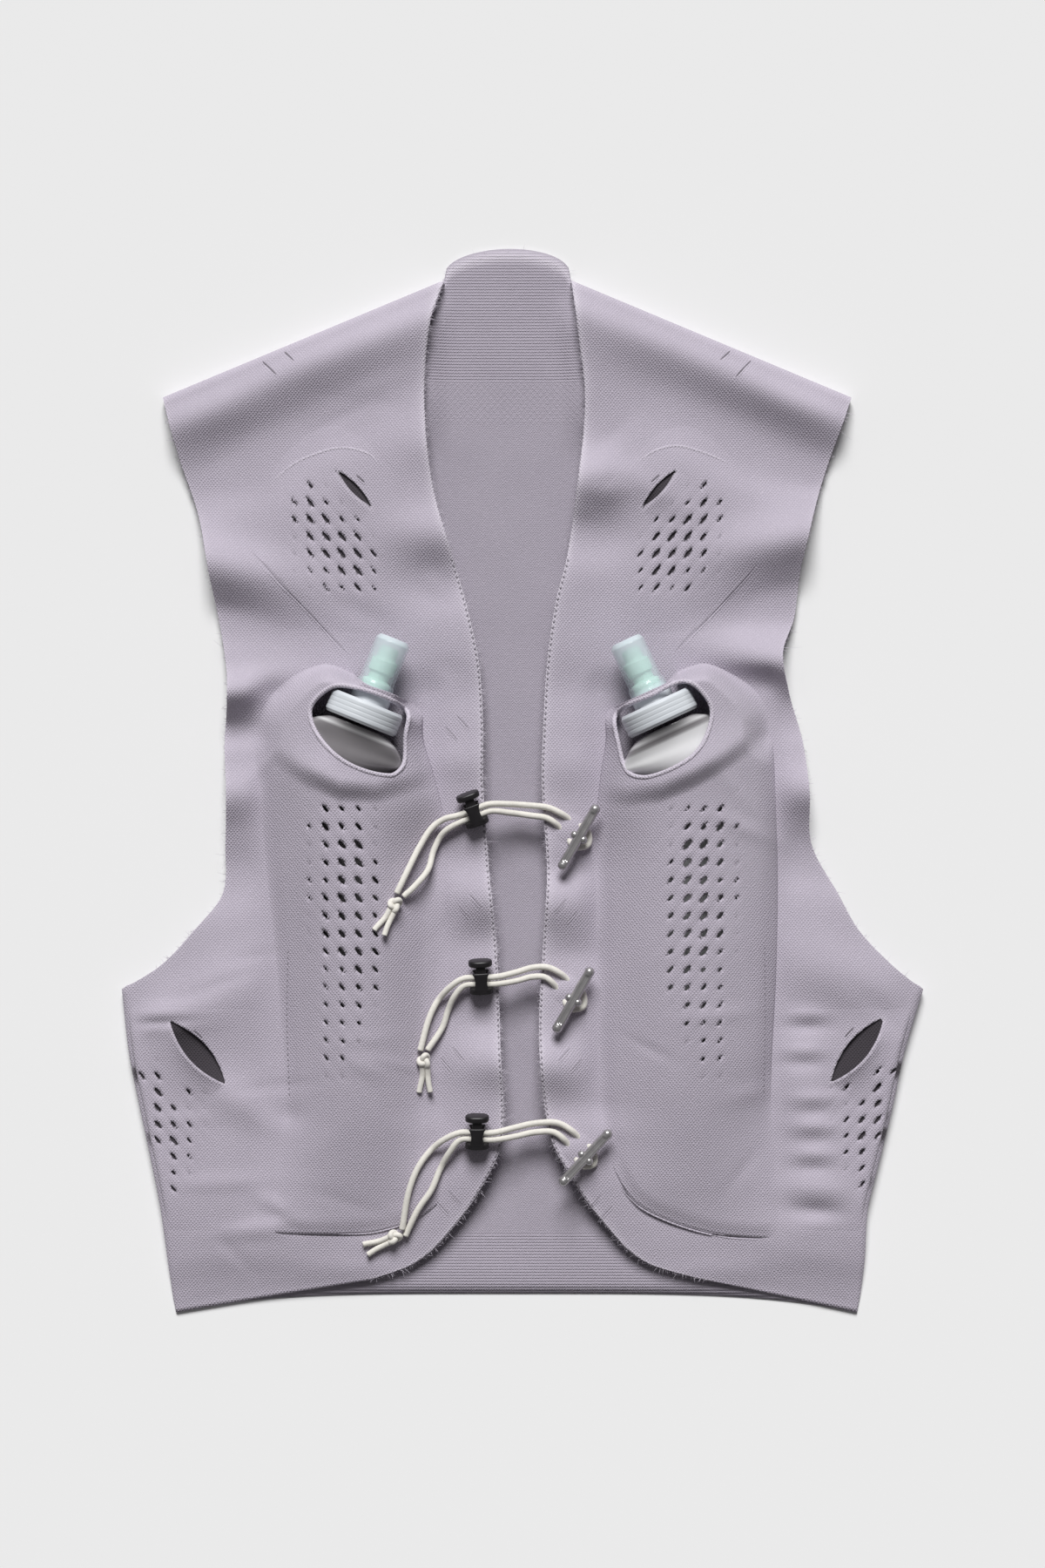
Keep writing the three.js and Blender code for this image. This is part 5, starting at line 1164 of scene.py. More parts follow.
def flask_layer(side, eyelets):
    """Points, faces and values of a flask pocket with its mouth and eyelets cut, and the mouth's outline."""
    pocket = FLASK_POCKETS[side]
    foot, top = pocket_line(side, "foot"), pocket_line(side, "top")
    low, high = foot[:, 1].min(), top[:, 1].max()
    plain = (PLAIN_TO - low) / (high - low)
    below = np.linspace(0, plain, int((PLAIN_TO - low) / PLAIN_PITCH))[:-1]
    above = np.linspace(plain, 1, int((high - PLAIN_TO) / FLASK_PITCH))
    width = np.ptp([pocket["outer"][WIDEST], pocket["inner"][WIDEST]])
    u, v = np.meshgrid(np.linspace(0, 1, int(width / FLASK_PITCH)), np.concatenate([below, above]))

    def edge(column, start, end):
        def at(t):
            y = start + (end - start) * t
            return np.stack([at_height(pocket, column, y), y], axis=-1)
        return at

    plan = blended_patch(
        route_line(foot), route_line(top), edge("outer", foot[0, 1], top[0, 1]),
        edge("inner", foot[-1, 1], top[-1, 1]), u, v).reshape(-1, 2)
    faces = grid_faces(*u.shape)
    mouth = smooth_route(pocket["mouth"], MOUTH_STEP, closed=True)
    middle = plan[faces].mean(axis=1)
    gone = inside_outline(middle[:, 0], middle[:, 1], mouth)
    rim = np.intersect1d(faces[gone], faces[~gone])
    nearest = np.argmin(np.linalg.norm(plan[rim][:, None] - mouth[None], axis=2), axis=1)
    plan[rim] = mouth[nearest]
    faces = cut_slits(plan, faces[~gone], eyelets[eyelets[:, 5] >= SMALLEST_CUT])
    x, y = plan.T
    depth, painted_shade = dimples(x, y, eyelets)
    points, faces, used = drop_loose(np.column_stack([x, y, flask_layer_height(x, y, side) - depth]), faces)
    if side == "left":
        faces = faces[:, ::-1]
    rim_line = np.column_stack([mouth, flask_layer_height(mouth[:, 0], mouth[:, 1], side)])
    return points, faces, {"raw": np.zeros(len(points)), "painted_shade": painted_shade[used]}, rim_line


for side in SIDES:
    eyelets = eyelet_field(FLASK_CHART, FLASK_FIELD, side, FLASK_EYELET)
    points, faces, values, rim_line = flask_layer(side, eyelets)
    layer = lay_mesh(f"flask_pocket_{side}_knit", points, faces, front_finish, values, closed=False)
    worn_on(thicken(layer, POCKET_KNIT), "vest", "pocket_knit", f"flask_pocket_{side}")
    rim_points, rim_faces = carried_ring(rim_line, RIM_RADIUS, RIM_SIDES, closed=True)
    rim_values = {"raw": np.full(len(rim_points), RIM_RAW), "painted_shade": np.zeros(len(rim_points))}
    rim = lay_mesh(f"flask_rim_{side}", rim_points, rim_faces, front_finish, rim_values)
    worn_on(rim, "vest", "pocket_knit")
    # Painted shade on the front under the pocket's eyelets.
    darken_under(fronts[side], eyelets)

# Soft flasks
# Thin smoky film welded flat at the foot and moulded on to a screw neck, with a ribbed cap, a mint valve and a
# clear sleeve. Each stands in its pocket, almost empty, with the pocket's rim stretched over the cap's collar.
FLASK_SECTIONS = {
    "y": [-165, -140, -100, -40, 0, 10, 17, 24, 31, 36.2],
    "half_width": [24, 28, 30, 31, 33, 34, 35, 34, 29, 19],
    "half_depth": [2, 4, 6, 8, 12, 15.5, 17, 17, 16.5, 18],
    "level": [15, 16.5, 18, 20, 24.5, 27.5, 29, 30, 33, 35],
}
FILM_DROOP = 5                  # of the film's two sides
FILM_SHIFT = 4                  # of the film towards the middle of the vest, under the mouth
FILM_SHIFT_SPAN = (-40, -10, 12, 32)  # heights at which that shift begins, is full, begins to fall and ends
DROOP_END = (20, 34)            # heights between which the droop ends
LEAN_SPAN = (-2, 30)            # and between which the film turns with the cap
NECK_SPAN = (6, 22)             # and between which its middle passes from the pocket's to the neck's
RIPPLE = {"rise": 0.25, "waves": 9, "pitch": 7}
FLANGE = {"pale_and_highlight": 0.6, "below": 12.5, "half": 1.3}  # pale ring under the cap
PALE_FROM = (16, 19)            # distances below the cap between which a painted highlight turns the left film pale
FILM_ROWS = 120
FILM_SIDES = 72
FLASK_SQUARE = 2.3              # exponent of the section's oval
CAP_LEVEL = 35
CAP_RADIUS = 23.8
CAP_HALF = 7.2
COLLAR_RADIUS = 13
COLLAR_TOP = 13
CAP_GROOVES = 4
GROOVE_DEPTH = 0.13
GROOVE_SHARP = 8                # power of the cosine wave that the grooves follow
CAP_LIP = 1.6                   # plain height at both ends of the cap's wall
CAP_BEVEL = {"in": 1.2, "lip_in": 0.5, "height": 1.5}
WALL_STEPS = 60
SLEEVE_FOOT = 13.3
SLEEVE_TOP = 50.3
SLEEVE_RADIUS = 12.2
SLEEVE_WALL = 1.6
SLEEVE_SKIRT = 6                # height of its wide foot
SLEEVE_SLOPE = 8                # height at which the slope over that ends
SLEEVE_STEP = 1                 # how much narrower it is above
SLEEVE_DOME = {"outer": 3, "inner": 2}
HIGHLIGHT_BANDS = (0.0, 0.42, 0.97)  # heights of the sleeve, as shares, at which bands of a more opaque wall paint its highlights
HIGHLIGHT_REACH = 0.07
VALVE_STEPS = [(9, 0), (9, 8), (6.6, 9), (6.6, 13), (8.4, 14), (8.4, 22), (6.2, 23), (6.2, 29), (4.8, 31)]
LATHE_SIDES = 96
CORNER_STEPS = 4                # of a rounded corner
CORNER_SHARE = 0.45             # the most of a profile's line that a corner takes up
# Colour of the film's pale ring and of the painted highlight on the left film.
FILM_PALE_AND_HIGHLIGHT = (0.86, 0.86, 0.87, 1)
SLEEVE_ALPHA = {"highlighted": 0.36, "clear": 0.22}


def softened(profile, radius):
    """A profile with its inner corners rounded by parabolas between points at the radius before and after."""
    profile = np.asarray(profile, float)
    before, corner, after = profile[:-2], profile[1:-1], profile[2:]

    def towards(target):
        gap = target - corner
        size = np.linalg.norm(gap, axis=1, keepdims=True)
        return corner + gap * np.minimum(radius / np.maximum(size, 1e-9), CORNER_SHARE)

    start, end = towards(before)[:, None], towards(after)[:, None]
    t = np.linspace(0, 1, CORNER_STEPS + 1)[None, :, None]
    arcs = (1 - t) ** 2 * start + 2 * t * (1 - t) * corner[:, None] + t * t * end
    return np.concatenate([profile[:1], arcs.reshape(-1, 2), profile[-1:]])


def lathe(profile, sides):
    """A profile of radius and height along +Y turned about that axis. Points on the axis are made one."""
    profile = np.asarray(profile, float)
    angle = ring_angles(sides)
    radius, along = profile[:, :1], profile[:, 1:]
    points = np.stack([radius * np.cos(angle), along + 0 * angle, radius * np.sin(angle)], axis=-1)
    points, faces = weld([(points.reshape(-1, 3), grid_faces(len(profile), sides, wrap=True))])
    return points, [list(dict.fromkeys(face)) for face in faces.tolist() if len(set(face)) > 2]


def turned_to(points, place, turn, pitch=0.0):
    """Points tipped about X by pitch, turned about Z and moved to a place."""
    c, s = np.cos(np.radians(pitch)), np.sin(np.radians(pitch))
    x, y, z = points[:, 0], points[:, 1] * c - points[:, 2] * s, points[:, 1] * s + points[:, 2] * c
    c, s = np.cos(np.radians(turn)), np.sin(np.radians(turn))
    return np.column_stack([x * c - y * s, x * s + y * c, z]) + np.asarray(place, float)


def moulded_finish(name, first, second, grain, smear, **sockets):
    """A moulded, metal or braided finish whose colour and roughness drift between two values with noise."""
    finish, tree, shader = new_finish(name, **sockets)
    noise = object_noise(tree, grain, 3.0)
    tree.links.new(mixed(tree, noise, first, second), shader.inputs["Base Color"])
    rough = add_node(tree, "ShaderNodeMapRange", {"Value": noise, "To Min": smear[0], "To Max": smear[1]})
    tree.links.new(rough.outputs[0], shader.inputs["Roughness"])
    return finish, tree, shader


def oval(wave, square):
    """A cosine or sine turned into a coordinate of the oval |a|^square + |b|^square = 1."""
    return np.sign(wave) * np.abs(wave) ** (2 / square)


def flask_film(side):
    """Points and faces of a flask: ovals along its middle line, which leans towards the neck, and how pale the
    film is at each point: its own pale ring under the cap, and on the left flask a painted highlight below it."""
    pocket = FLASK_POCKETS[side]
    lean = np.radians(pocket["lean"])
    cap_x, cap_y = pocket["cap"]
    y = np.linspace(FLASK_SECTIONS["y"][0], FLASK_SECTIONS["y"][-1], FILM_ROWS)[:, None]
    angle = ring_angles(FILM_SIDES)[None]
    columns = ("half_width", "half_depth", "level")
    width, depth, level = (at_height(FLASK_SECTIONS, column, y) for column in columns)
    share = between(y, *LEAN_SPAN)
    neck_x = cap_x + (y - cap_y) * np.tan(lean)
    in_neck = between(y, *NECK_SPAN)
    middle = at_height(pocket, "middle", y) * (1 - in_neck) + neck_x * in_neck
    shifted = between(y, *FILM_SHIFT_SPAN[:2])
    middle = middle - np.sign(cap_x) * FILM_SHIFT * shifted * (1 - between(y, *FILM_SHIFT_SPAN[2:]))
    across = width * oval(np.cos(angle), FLASK_SQUARE)
    ripple = RIPPLE["rise"] * np.sin(RIPPLE["waves"] * angle + y / RIPPLE["pitch"]) * (1 - share)
    x = middle + across * np.cos(lean * share)
    droop = FILM_DROOP * np.cos(angle) ** 2 * (1 - between(y, *DROOP_END))
    z = level + (depth + ripple) * oval(np.sin(angle), FLASK_SQUARE) - droop
    points = np.stack([x, y - across * np.sin(lean * share), z], axis=-1).reshape(-1, 3)
    below_cap = -(points[:, 0] - cap_x) * np.sin(lean) - (points[:, 1] - cap_y) * np.cos(lean)
    pale_and_highlight = FLANGE["pale_and_highlight"] * np.exp(-((below_cap - FLANGE["below"]) / FLANGE["half"]) ** 4)
    # Painted highlight: the left film turns pale below the cap.
    if side == "left":
        pale_and_highlight = np.maximum(pale_and_highlight, between(below_cap, *PALE_FROM))
    return points, tube_faces(FILM_ROWS, FILM_SIDES), pale_and_highlight


film_finish, film_tree, film_shader = moulded_finish(
    "smoky_film", (0.20, 0.19, 0.20, 1), (0.27, 0.255, 0.265, 1), grain=40.0, smear=(0.12, 0.3),
    Coat_Weight=0.4)
film_pale_and_highlight = add_node(film_tree, "ShaderNodeAttribute", attribute_name="pale_and_highlight").outputs["Fac"]
film_dark = film_shader.inputs["Base Color"].links[0].from_socket
film_colour = mixed(film_tree, film_pale_and_highlight, film_dark, FILM_PALE_AND_HIGHLIGHT)
film_tree.links.new(film_colour, film_shader.inputs["Base Color"])
cap_finish, _, _ = moulded_finish(
    "ribbed_cap", (0.55, 0.58, 0.62, 1), (0.64, 0.67, 0.70, 1), grain=50.0, smear=(0.25, 0.42))
core_finish, _, _ = moulded_finish(
    "mint_silicone", (0.42, 0.70, 0.58, 1), (0.52, 0.78, 0.68, 1), grain=70.0, smear=(0.35, 0.5))
sleeve_finish, sleeve_tree, sleeve_shader = moulded_finish(
    "clear_sleeve", (0.74, 0.85, 0.90, 1), (0.84, 0.92, 0.95, 1), grain=45.0, smear=(0.05, 0.14))
# Painted highlight: the bands make the clear sleeve more opaque, and so paler.
sleeve_highlight = add_node(sleeve_tree, "ShaderNodeAttribute", attribute_name="highlight_band").outputs["Fac"]
sleeve_alpha = calculate(
    sleeve_tree, "MULTIPLY_ADD", sleeve_highlight, SLEEVE_ALPHA["highlighted"], SLEEVE_ALPHA["clear"])
sleeve_tree.links.new(sleeve_alpha, sleeve_shader.inputs["Alpha"])

up_wall = np.linspace(-CAP_HALF + CAP_LIP, CAP_HALF - CAP_LIP, WALL_STEPS)
groove_wave = np.cos(np.pi * CAP_GROOVES * (up_wall + CAP_HALF - CAP_LIP) / (2 * CAP_HALF - 2 * CAP_LIP))
cap_wall = np.column_stack([CAP_RADIUS - GROOVE_DEPTH * np.abs(groove_wave) ** GROOVE_SHARP, up_wall])
bevel_in, bevel_lip = CAP_RADIUS - CAP_BEVEL["in"], CAP_RADIUS - CAP_BEVEL["lip_in"]
CAP_PROFILE = np.concatenate([
    softened(
        [(0, -CAP_HALF), (bevel_in, -CAP_HALF), (bevel_lip, -CAP_HALF + CAP_BEVEL["height"])], radius=1.2),
    cap_wall,
    softened([(bevel_lip, CAP_HALF - CAP_BEVEL["height"]), (bevel_in, CAP_HALF), (COLLAR_RADIUS, CAP_HALF),
              (COLLAR_RADIUS, COLLAR_TOP), (0, COLLAR_TOP)], radius=0.9)])
VALVE_PROFILE = softened([
    (0, SLEEVE_FOOT), *[(radius, SLEEVE_FOOT + up) for radius, up in VALVE_STEPS],
    (0, SLEEVE_FOOT + VALVE_STEPS[-1][1])], radius=0.6)


def sleeve_half(wide, top, dome):
    """One face of the sleeve from its foot to its axis: skirt, slope, wall and a bevelled top."""
    narrow = wide - SLEEVE_STEP
    return [(wide, SLEEVE_FOOT), (wide, SLEEVE_FOOT + SLEEVE_SKIRT), (narrow, SLEEVE_FOOT + SLEEVE_SLOPE),
            (narrow, top - dome), (wide - dome, top), (0, top)]


SLEEVE_INNER = SLEEVE_RADIUS - SLEEVE_WALL
sleeve_outside = sleeve_half(SLEEVE_RADIUS, SLEEVE_TOP, SLEEVE_DOME["outer"])
sleeve_inside = sleeve_half(SLEEVE_INNER, SLEEVE_TOP - SLEEVE_WALL, SLEEVE_DOME["inner"])
SLEEVE_PROFILE = softened([sleeve_inside[0], *sleeve_outside, *sleeve_inside[::-1]], radius=0.7)
for side in SIDES:
    points, faces, pale_and_highlight = flask_film(side)
    film = lay_mesh(f"flask_film_{side}", points, faces, film_finish, {"pale_and_highlight": pale_and_highlight})
    worn_on(film, "vest", "flask_film", f"flask_body_{side}")
    place = (*FLASK_POCKETS[side]["cap"], CAP_LEVEL)
    turn = -FLASK_POCKETS[side]["lean"]
    for name, profile, finish, slot, node in (
            ("ribbed_cap", CAP_PROFILE, cap_finish, "flask_cap", "flask_cap"),
            ("valve_silicone", VALVE_PROFILE, core_finish, "valve", "valve_core"),
            ("clear_sleeve", SLEEVE_PROFILE, sleeve_finish, "valve_sleeve", "valve_sleeve")):
        points, faces = lathe(profile, LATHE_SIDES)
        # Bands that paint the sleeve's highlights by a more opaque wall.
        up_sleeve = (points[:, 1] - SLEEVE_FOOT) / (SLEEVE_TOP - SLEEVE_FOOT)
        from_bands = np.abs(up_sleeve - np.array(HIGHLIGHT_BANDS)[:, None])
        highlight_band = {"highlight_band": np.exp(-((from_bands / HIGHLIGHT_REACH) ** 2)).max(axis=0)}
        piece = lay_mesh(f"{name}_{side}", turned_to(points, place, turn), faces, finish, highlight_band)
        worn_on(piece, "vest", slot, f"{node}_{side}")

# Bar toggles
# Cast metal bars, polished, with ball ends and a channel along the back. Each is held at its middle by two
# rivet heads on a short post through the left front.
TOGGLE_LENGTH = 47
TOGGLE_RADIUS = 3.1
BALL_RADIUS = 3.3
RAIL_TOP = 2.29                 # of the channel's rails over the bar's axis
RIVET_RADIUS = 2.6
POST_RADIUS = 1.5
POST_SUNK = 0.2                 # into the knit
POST_ROUND = 0.3
BAR_SIDES = 36
BAR_STEPS = {"bar": 90, "ball": 16}
RIVET_STEPS = 20
RIVET_SIDES = 32
POST_SIDES = 24
# The channel about the bar's top. Its walls and ends slope over the given degrees and lengths, and the slopes
# begin a little before the half angle and the half length.
CHANNEL = {"half_length": 17.5, "half_angle": 27, "depth": 1.1, "wall": 9, "wall_in": 7, "end": 2, "end_in": 1}
POCKET_HEIGHTS = (-285, 45)     # between which the flask pockets count as the top of the knit
# Places in x and y, turns in degrees, and each cord's length in metres.
CLOSURES = [
    {
        "lock": (-30.5, -18.5), "lock_turn": 20, "toggle": (35.5, -33.5), "toggle_turn": 60,
        "knot": (-80, -75.5), "knot_turn": -118, "length": 0.336,
        "outer": [(-71.5, -53), (-64.5, -39), (-57, -27.5), (-49, -22)],
        "inner": [(-68, -64.5), (-59.5, -54), (-56, -42), (-50, -31)],
        "upper": [(-10, -12.6), (6, -13.6), (16.5, -15), (25, -19), (33, -24.5), (41, -29.5)],
        "lower": [(-9, -18), (6, -20), (15, -21.4), (21.5, -25.5), (27.5, -32.5), (33, -39.6)],
        "turn_point": (41.3, -38.2),
    },
    {
        "lock": (-26, -124), "lock_turn": 3, "toggle": (32, -135.8), "toggle_turn": 60,
        "knot": (-62, -174.5), "knot_turn": -88, "length": 0.286,
        "outer": [(-59, -148), (-53, -136), (-44, -126.5)],
        "inner": [(-50.5, -153.5), (-47, -143), (-43, -134)],
        "upper": [(-4, -118.6), (7, -115.6), (16, -115.6), (24, -119.5), (31, -126), (38, -131.5)],
        "lower": [(-4, -124), (6, -121.6), (14, -121.8), (19.5, -126), (25, -134), (30, -141.6)],
        "turn_point": (38.3, -140.3),
    },
    {
        "lock": (-28.5, -221.5), "lock_turn": 0, "toggle": (39.6, -235), "toggle_turn": 47,
        "knot": (-81, -286), "knot_turn": -155, "length": 0.348,
        "outer": [(-72, -258), (-66, -242), (-57, -230), (-48, -223)],
        "inner": [(-66, -268.5), (-57.5, -256), (-52, -243), (-46, -232)],
        "upper": [(-5, -216.4), (10, -213.6), (22, -213.6), (31, -218.5), (38, -226), (44.5, -231)],
        "lower": [(-5, -222), (9, -219.4), (19.5, -219.4), (26.5, -224.4), (32, -233), (37, -240.4)],
        "turn_point": (45, -239.6),
    },
]


def vest_top(x, y):
    """Top of the knit and of its pockets at points seen from above."""
    top = np.full(np.shape(x), KNIT, float)
    t = np.linspace(0, 1, OUTLINE_STEPS)
    for side in SIDES:
        front = front_height(x, y, side) + KNIT / 2
        top = np.where(TO_MIDDLE[side] * (x - at_height(FRONT_EDGE, side, y)) < 0, front, top)
        for _, edges, blends, lips, slit in upper_layers[side]:
            bottom, crown, start, end = edges
            outline = np.concatenate([bottom(t), end(t), crown(t)[::-1], start(t)[::-1]])
            layer = layer_height(x, y, side, edges, blends, lips, slit)[0] + POCKET_KNIT / 2
            top = np.where(inside_outline(x, y, outline), np.maximum(layer, top), top)
        pocket = FLASK_POCKETS[side]
        up = t * (POCKET_HEIGHTS[1] - POCKET_HEIGHTS[0]) + POCKET_HEIGHTS[0]
        outer, inner = (np.column_stack([at_height(pocket, column, up), up]) for column in ("outer", "inner"))
        outline = np.concatenate([outer, inner[::-1]])
        layer = flask_layer_height(x, y, side) + POCKET_KNIT / 2
        top = np.where(inside_outline(x, y, outline), np.maximum(layer, top), top)
    return top


def toggle_shape(lift):
    """Points and faces of a toggle with its axis along X: a bar r(x, a) = radius - channel with ball ends, two
    rivet balls and a post. The channel is a smooth trough about the top."""
    half = TOGGLE_LENGTH / 2
    t = half - BALL_RADIUS * (1 - np.sin(np.linspace(-np.pi / 3, np.pi / 2, BAR_STEPS["ball"])))
    x = np.concatenate([-t[::-1], np.linspace(-t[0], t[0], BAR_STEPS["bar"])[1:-1], t])
    into_ball = np.abs(np.abs(x) - (half - BALL_RADIUS)) / BALL_RADIUS
    ball_part = BALL_RADIUS * np.sqrt(np.maximum(1 - into_ball ** 2, 1e-4))
    capsule = np.where(np.abs(x) < half - BALL_RADIUS, np.maximum(ball_part, TOGGLE_RADIUS), ball_part)
    angle = ring_angles(BAR_SIDES)
    from_top = np.degrees(np.abs(np.angle(np.exp(1j * (angle - np.pi / 2)))))
    trough = 1 - smooth((from_top - CHANNEL["half_angle"] + CHANNEL["wall_in"]) / CHANNEL["wall"])
    reach = 1 - smooth((np.abs(x) - CHANNEL["half_length"] + CHANNEL["end_in"]) / CHANNEL["end"])
    radius = capsule[:, None] - CHANNEL["depth"] * reach[:, None] * trough[None]
    bar = np.stack([x[:, None] + 0 * angle, radius * np.cos(angle), radius * np.sin(angle)], axis=-1)
    down_ball = np.linspace(0, np.pi, RIVET_STEPS)
    ball_profile = np.column_stack([np.sin(down_ball), -np.cos(down_ball)])
    ball, ball_faces = lathe(ball_profile * RIVET_RADIUS, RIVET_SIDES)
    post_profile = softened([(0, -lift), (POST_RADIUS, -lift), (POST_RADIUS, 0), (0, 0)], POST_ROUND)
    post, post_faces = lathe(post_profile, POST_SIDES)
    return joined([
        (bar.reshape(-1, 3), tube_faces(len(x), BAR_SIDES)),
        (ball + [0, TOGGLE_RADIUS, 0], ball_faces),
        (ball - [0, TOGGLE_RADIUS, 0], ball_faces),
        (post[:, [0, 2, 1]], post_faces)])


metal_finish, _, _ = moulded_finish(
    "polished_metal", (0.40, 0.385, 0.39, 1), (0.56, 0.545, 0.55, 1), grain=180.0, smear=(0.20, 0.32),
    Metallic=0.75)
for number, closure in enumerate(CLOSURES, 1):
    x, y = closure["toggle"]
    axis_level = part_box(f"toggle_{number}")[1][2] / MM - RAIL_TOP
    lift = axis_level - float(vest_top(np.array(x), np.array(y))) + POST_SUNK
    points, faces = toggle_shape(lift)
    points = turned_to(points, (x, y, axis_level), closure["toggle_turn"])
    toggle = lay_mesh(f"toggle_{number}_metal", points, faces, metal_finish)
    worn_on(toggle, "vest", "toggle", f"toggle_{number}")

# Cord locks
# Black moulded spring locks: a flared foot, two cheeks that the doubled cord runs between, and a sprung button
# with a broad flange. Its fork straddles the cord and slides between the cheeks as it is pressed to the foot.
LOCK_PITCH = 12
LOCK_DEPTH = 12.2
LOCK_FOOT = -7.9                # ends of the barrel along the lock, from the middle of its cord hole
LOCK_END = 6.1
STRAND_APART = 2.3
STRAND_CLEAR = 2.8              # half of the cord hole's depth
LOCK_REACH = 7.5
BARREL_FOOT = {"length": 4.2, "edge": 1.1}
CHEEK = {"from": 2, "half_width": 5.2, "edge": 0.6, "waist": 0.72}
BUTTON_AT = 9.7                 # underside of the button's flange
BUTTON_FLANGE = {"thick": 4, "half_depth": 6, "edge": 1.3}
PRONG = {"thick": 1.3, "half_width": 3.0, "foot": 0.2, "clear": 0.2, "into_flange": 1.5, "edge": 0.4}
LOFT_SIDES = 44
LOFT_STEPS = {"edge": 6, "side": 12}
WAIST_POWER = 0.7
LOFT_SQUARE = 2.6               # exponent of a lock's oval sections


def oval_loft(stations):
    """A closed loft along Y through ovals, each given by its y, half width, half depth and middle in z."""
    y, width, depth, level = np.array(stations, float).T[..., None]
    angle = ring_angles(LOFT_SIDES)
    x = width * oval(np.cos(angle), LOFT_SQUARE)
    z = level + depth * oval(np.sin(angle), LOFT_SQUARE)
    points = np.stack([x, y + 0 * angle, z], axis=-1)
    return points.reshape(-1, 3), tube_faces(len(y), LOFT_SIDES)


def rounded_stations(y_from, y_to, width, depth, edge, level=0.0, waist=None):
    """Stations of a block with rounded ends. waist gives the share of the width at the middle."""
    angle = np.linspace(0, np.pi / 2, LOFT_STEPS["edge"])
    inset, shrink = edge * (1 - np.cos(angle)), edge * (1 - np.sin(angle))
    rounded = [(step, width - less, depth - less, level) for step, less in zip(inset, shrink)]
    rows = [(y_from + step, *size) for step, *size in rounded]
    for t in np.linspace(0, 1, LOFT_STEPS["side"])[1:-1]:
        narrow = 1 if waist is None else 1 - (1 - waist) * np.sin(np.pi * t) ** WAIST_POWER
        rows.append((y_from + edge + (y_to - y_from - 2 * edge) * t, width * narrow, depth, level))
    return rows + [(y_to - step, *size) for step, *size in rounded[::-1]]


lock_finish, _, _ = moulded_finish(
    "black_lock", (0.008, 0.007, 0.008, 1), (0.016, 0.014, 0.016, 1), grain=220.0, smear=(0.32, 0.5))
lock_places = []
for number, closure in enumerate(CLOSURES, 1):
    top_of_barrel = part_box(f"lock_barrel_{number}")[1][2] / MM
    rise = LOCK_END * np.sin(np.radians(LOCK_PITCH)) + LOCK_DEPTH / 2 * np.cos(np.radians(LOCK_PITCH))
    place = (*closure["lock"], top_of_barrel - rise)
    lock_places.append(place)
    turn = closure["lock_turn"]
    inner_face = STRAND_CLEAR + PRONG["thick"] + PRONG["clear"]
    cheek = (inner_face + LOCK_DEPTH / 2) / 2
    half_cheek = (LOCK_DEPTH / 2 - inner_face) / 2
    foot_end = LOCK_FOOT + BARREL_FOOT["length"]
    stations = [rounded_stations(LOCK_FOOT, foot_end, LOCK_REACH, LOCK_DEPTH / 2, BARREL_FOOT["edge"])]
    for level in (cheek, -cheek):
        stations.append(rounded_stations(
            LOCK_FOOT + CHEEK["from"], LOCK_END, CHEEK["half_width"], half_cheek, CHEEK["edge"], level,
            CHEEK["waist"]))
    points, faces = joined([oval_loft(rows) for rows in stations])
    barrel = lay_mesh(f"lock_{number}_barrel", turned_to(points, place, turn, LOCK_PITCH), faces, lock_finish)
    worn_on(barrel, "vest", "cord_lock", f"lock_barrel_{number}")
    prong = STRAND_CLEAR + PRONG["thick"] / 2
    prong_end = BUTTON_AT + PRONG["into_flange"]
    stations = [rounded_stations(
        BUTTON_AT, BUTTON_AT + BUTTON_FLANGE["thick"], LOCK_REACH, BUTTON_FLANGE["half_depth"],
        BUTTON_FLANGE["edge"])]
    for level in (prong, -prong):
        stations.append(rounded_stations(
            PRONG["foot"], prong_end, PRONG["half_width"], PRONG["thick"] / 2, PRONG["edge"], level))
    points, faces = joined([oval_loft(rows) for rows in stations])
    button = lay_mesh(f"lock_{number}_button", turned_to(points, place, turn, LOCK_PITCH), faces, lock_finish)
    worn_on(button, f"button_{number}", "cord_lock", f"lock_button_{number}")

# Closure cords
# Off-white braided elastic, 4 mm thick. Each is one loop, from its knot through the lock, round the toggle
# and back. It lies on the knit and spans the hollows. Its two ends are tied in an overhand knot.
CORD = 4
CORD_REST = 0.35
CORD_SAG_RADIUS = 40            # how tightly a cord follows hollows in the knit
PLAN_STEP = 1.0
BRIDGE_AT = 4                   # which point of the upper and lower strands lies under the front's knit
DIVE = {"depth": 4.6, "reach": 9.5}
CORD_SIDES = 28
BRAID_STRANDS = 8
BRAID_PITCH = 7.0
BRAID_RELIEF = 0.13
LOCK_CLEAR = 3
SPOT = (-1.5, 0, 1.5)           # round each point of a cord, steps in x and y at which it could touch the knit
BLUR = {"half": 6, "reach": 3.0}  # of the cord's level, in plan steps
BLUR_FALL = 0.5                 # the most that it takes off a high place
KNOT = {"length": 12, "height": 8, "exit": 0.6}
KNOT_LOOP = {"size": (1.35, 1.05, 1.7), "radius": 1.75, "sides": 20, "steps": 120}
TAIL = {"length": 14, "spread": 3.4, "from": 1.2, "drop": 1.6, "thinner": 0.2, "rest": 0.3, "steps": 30}
TAIL_WAVE = {"rise": 0.6, "turns": 5}
TAIL_DROPPED = 0.5              # share of its length at which a tail is down


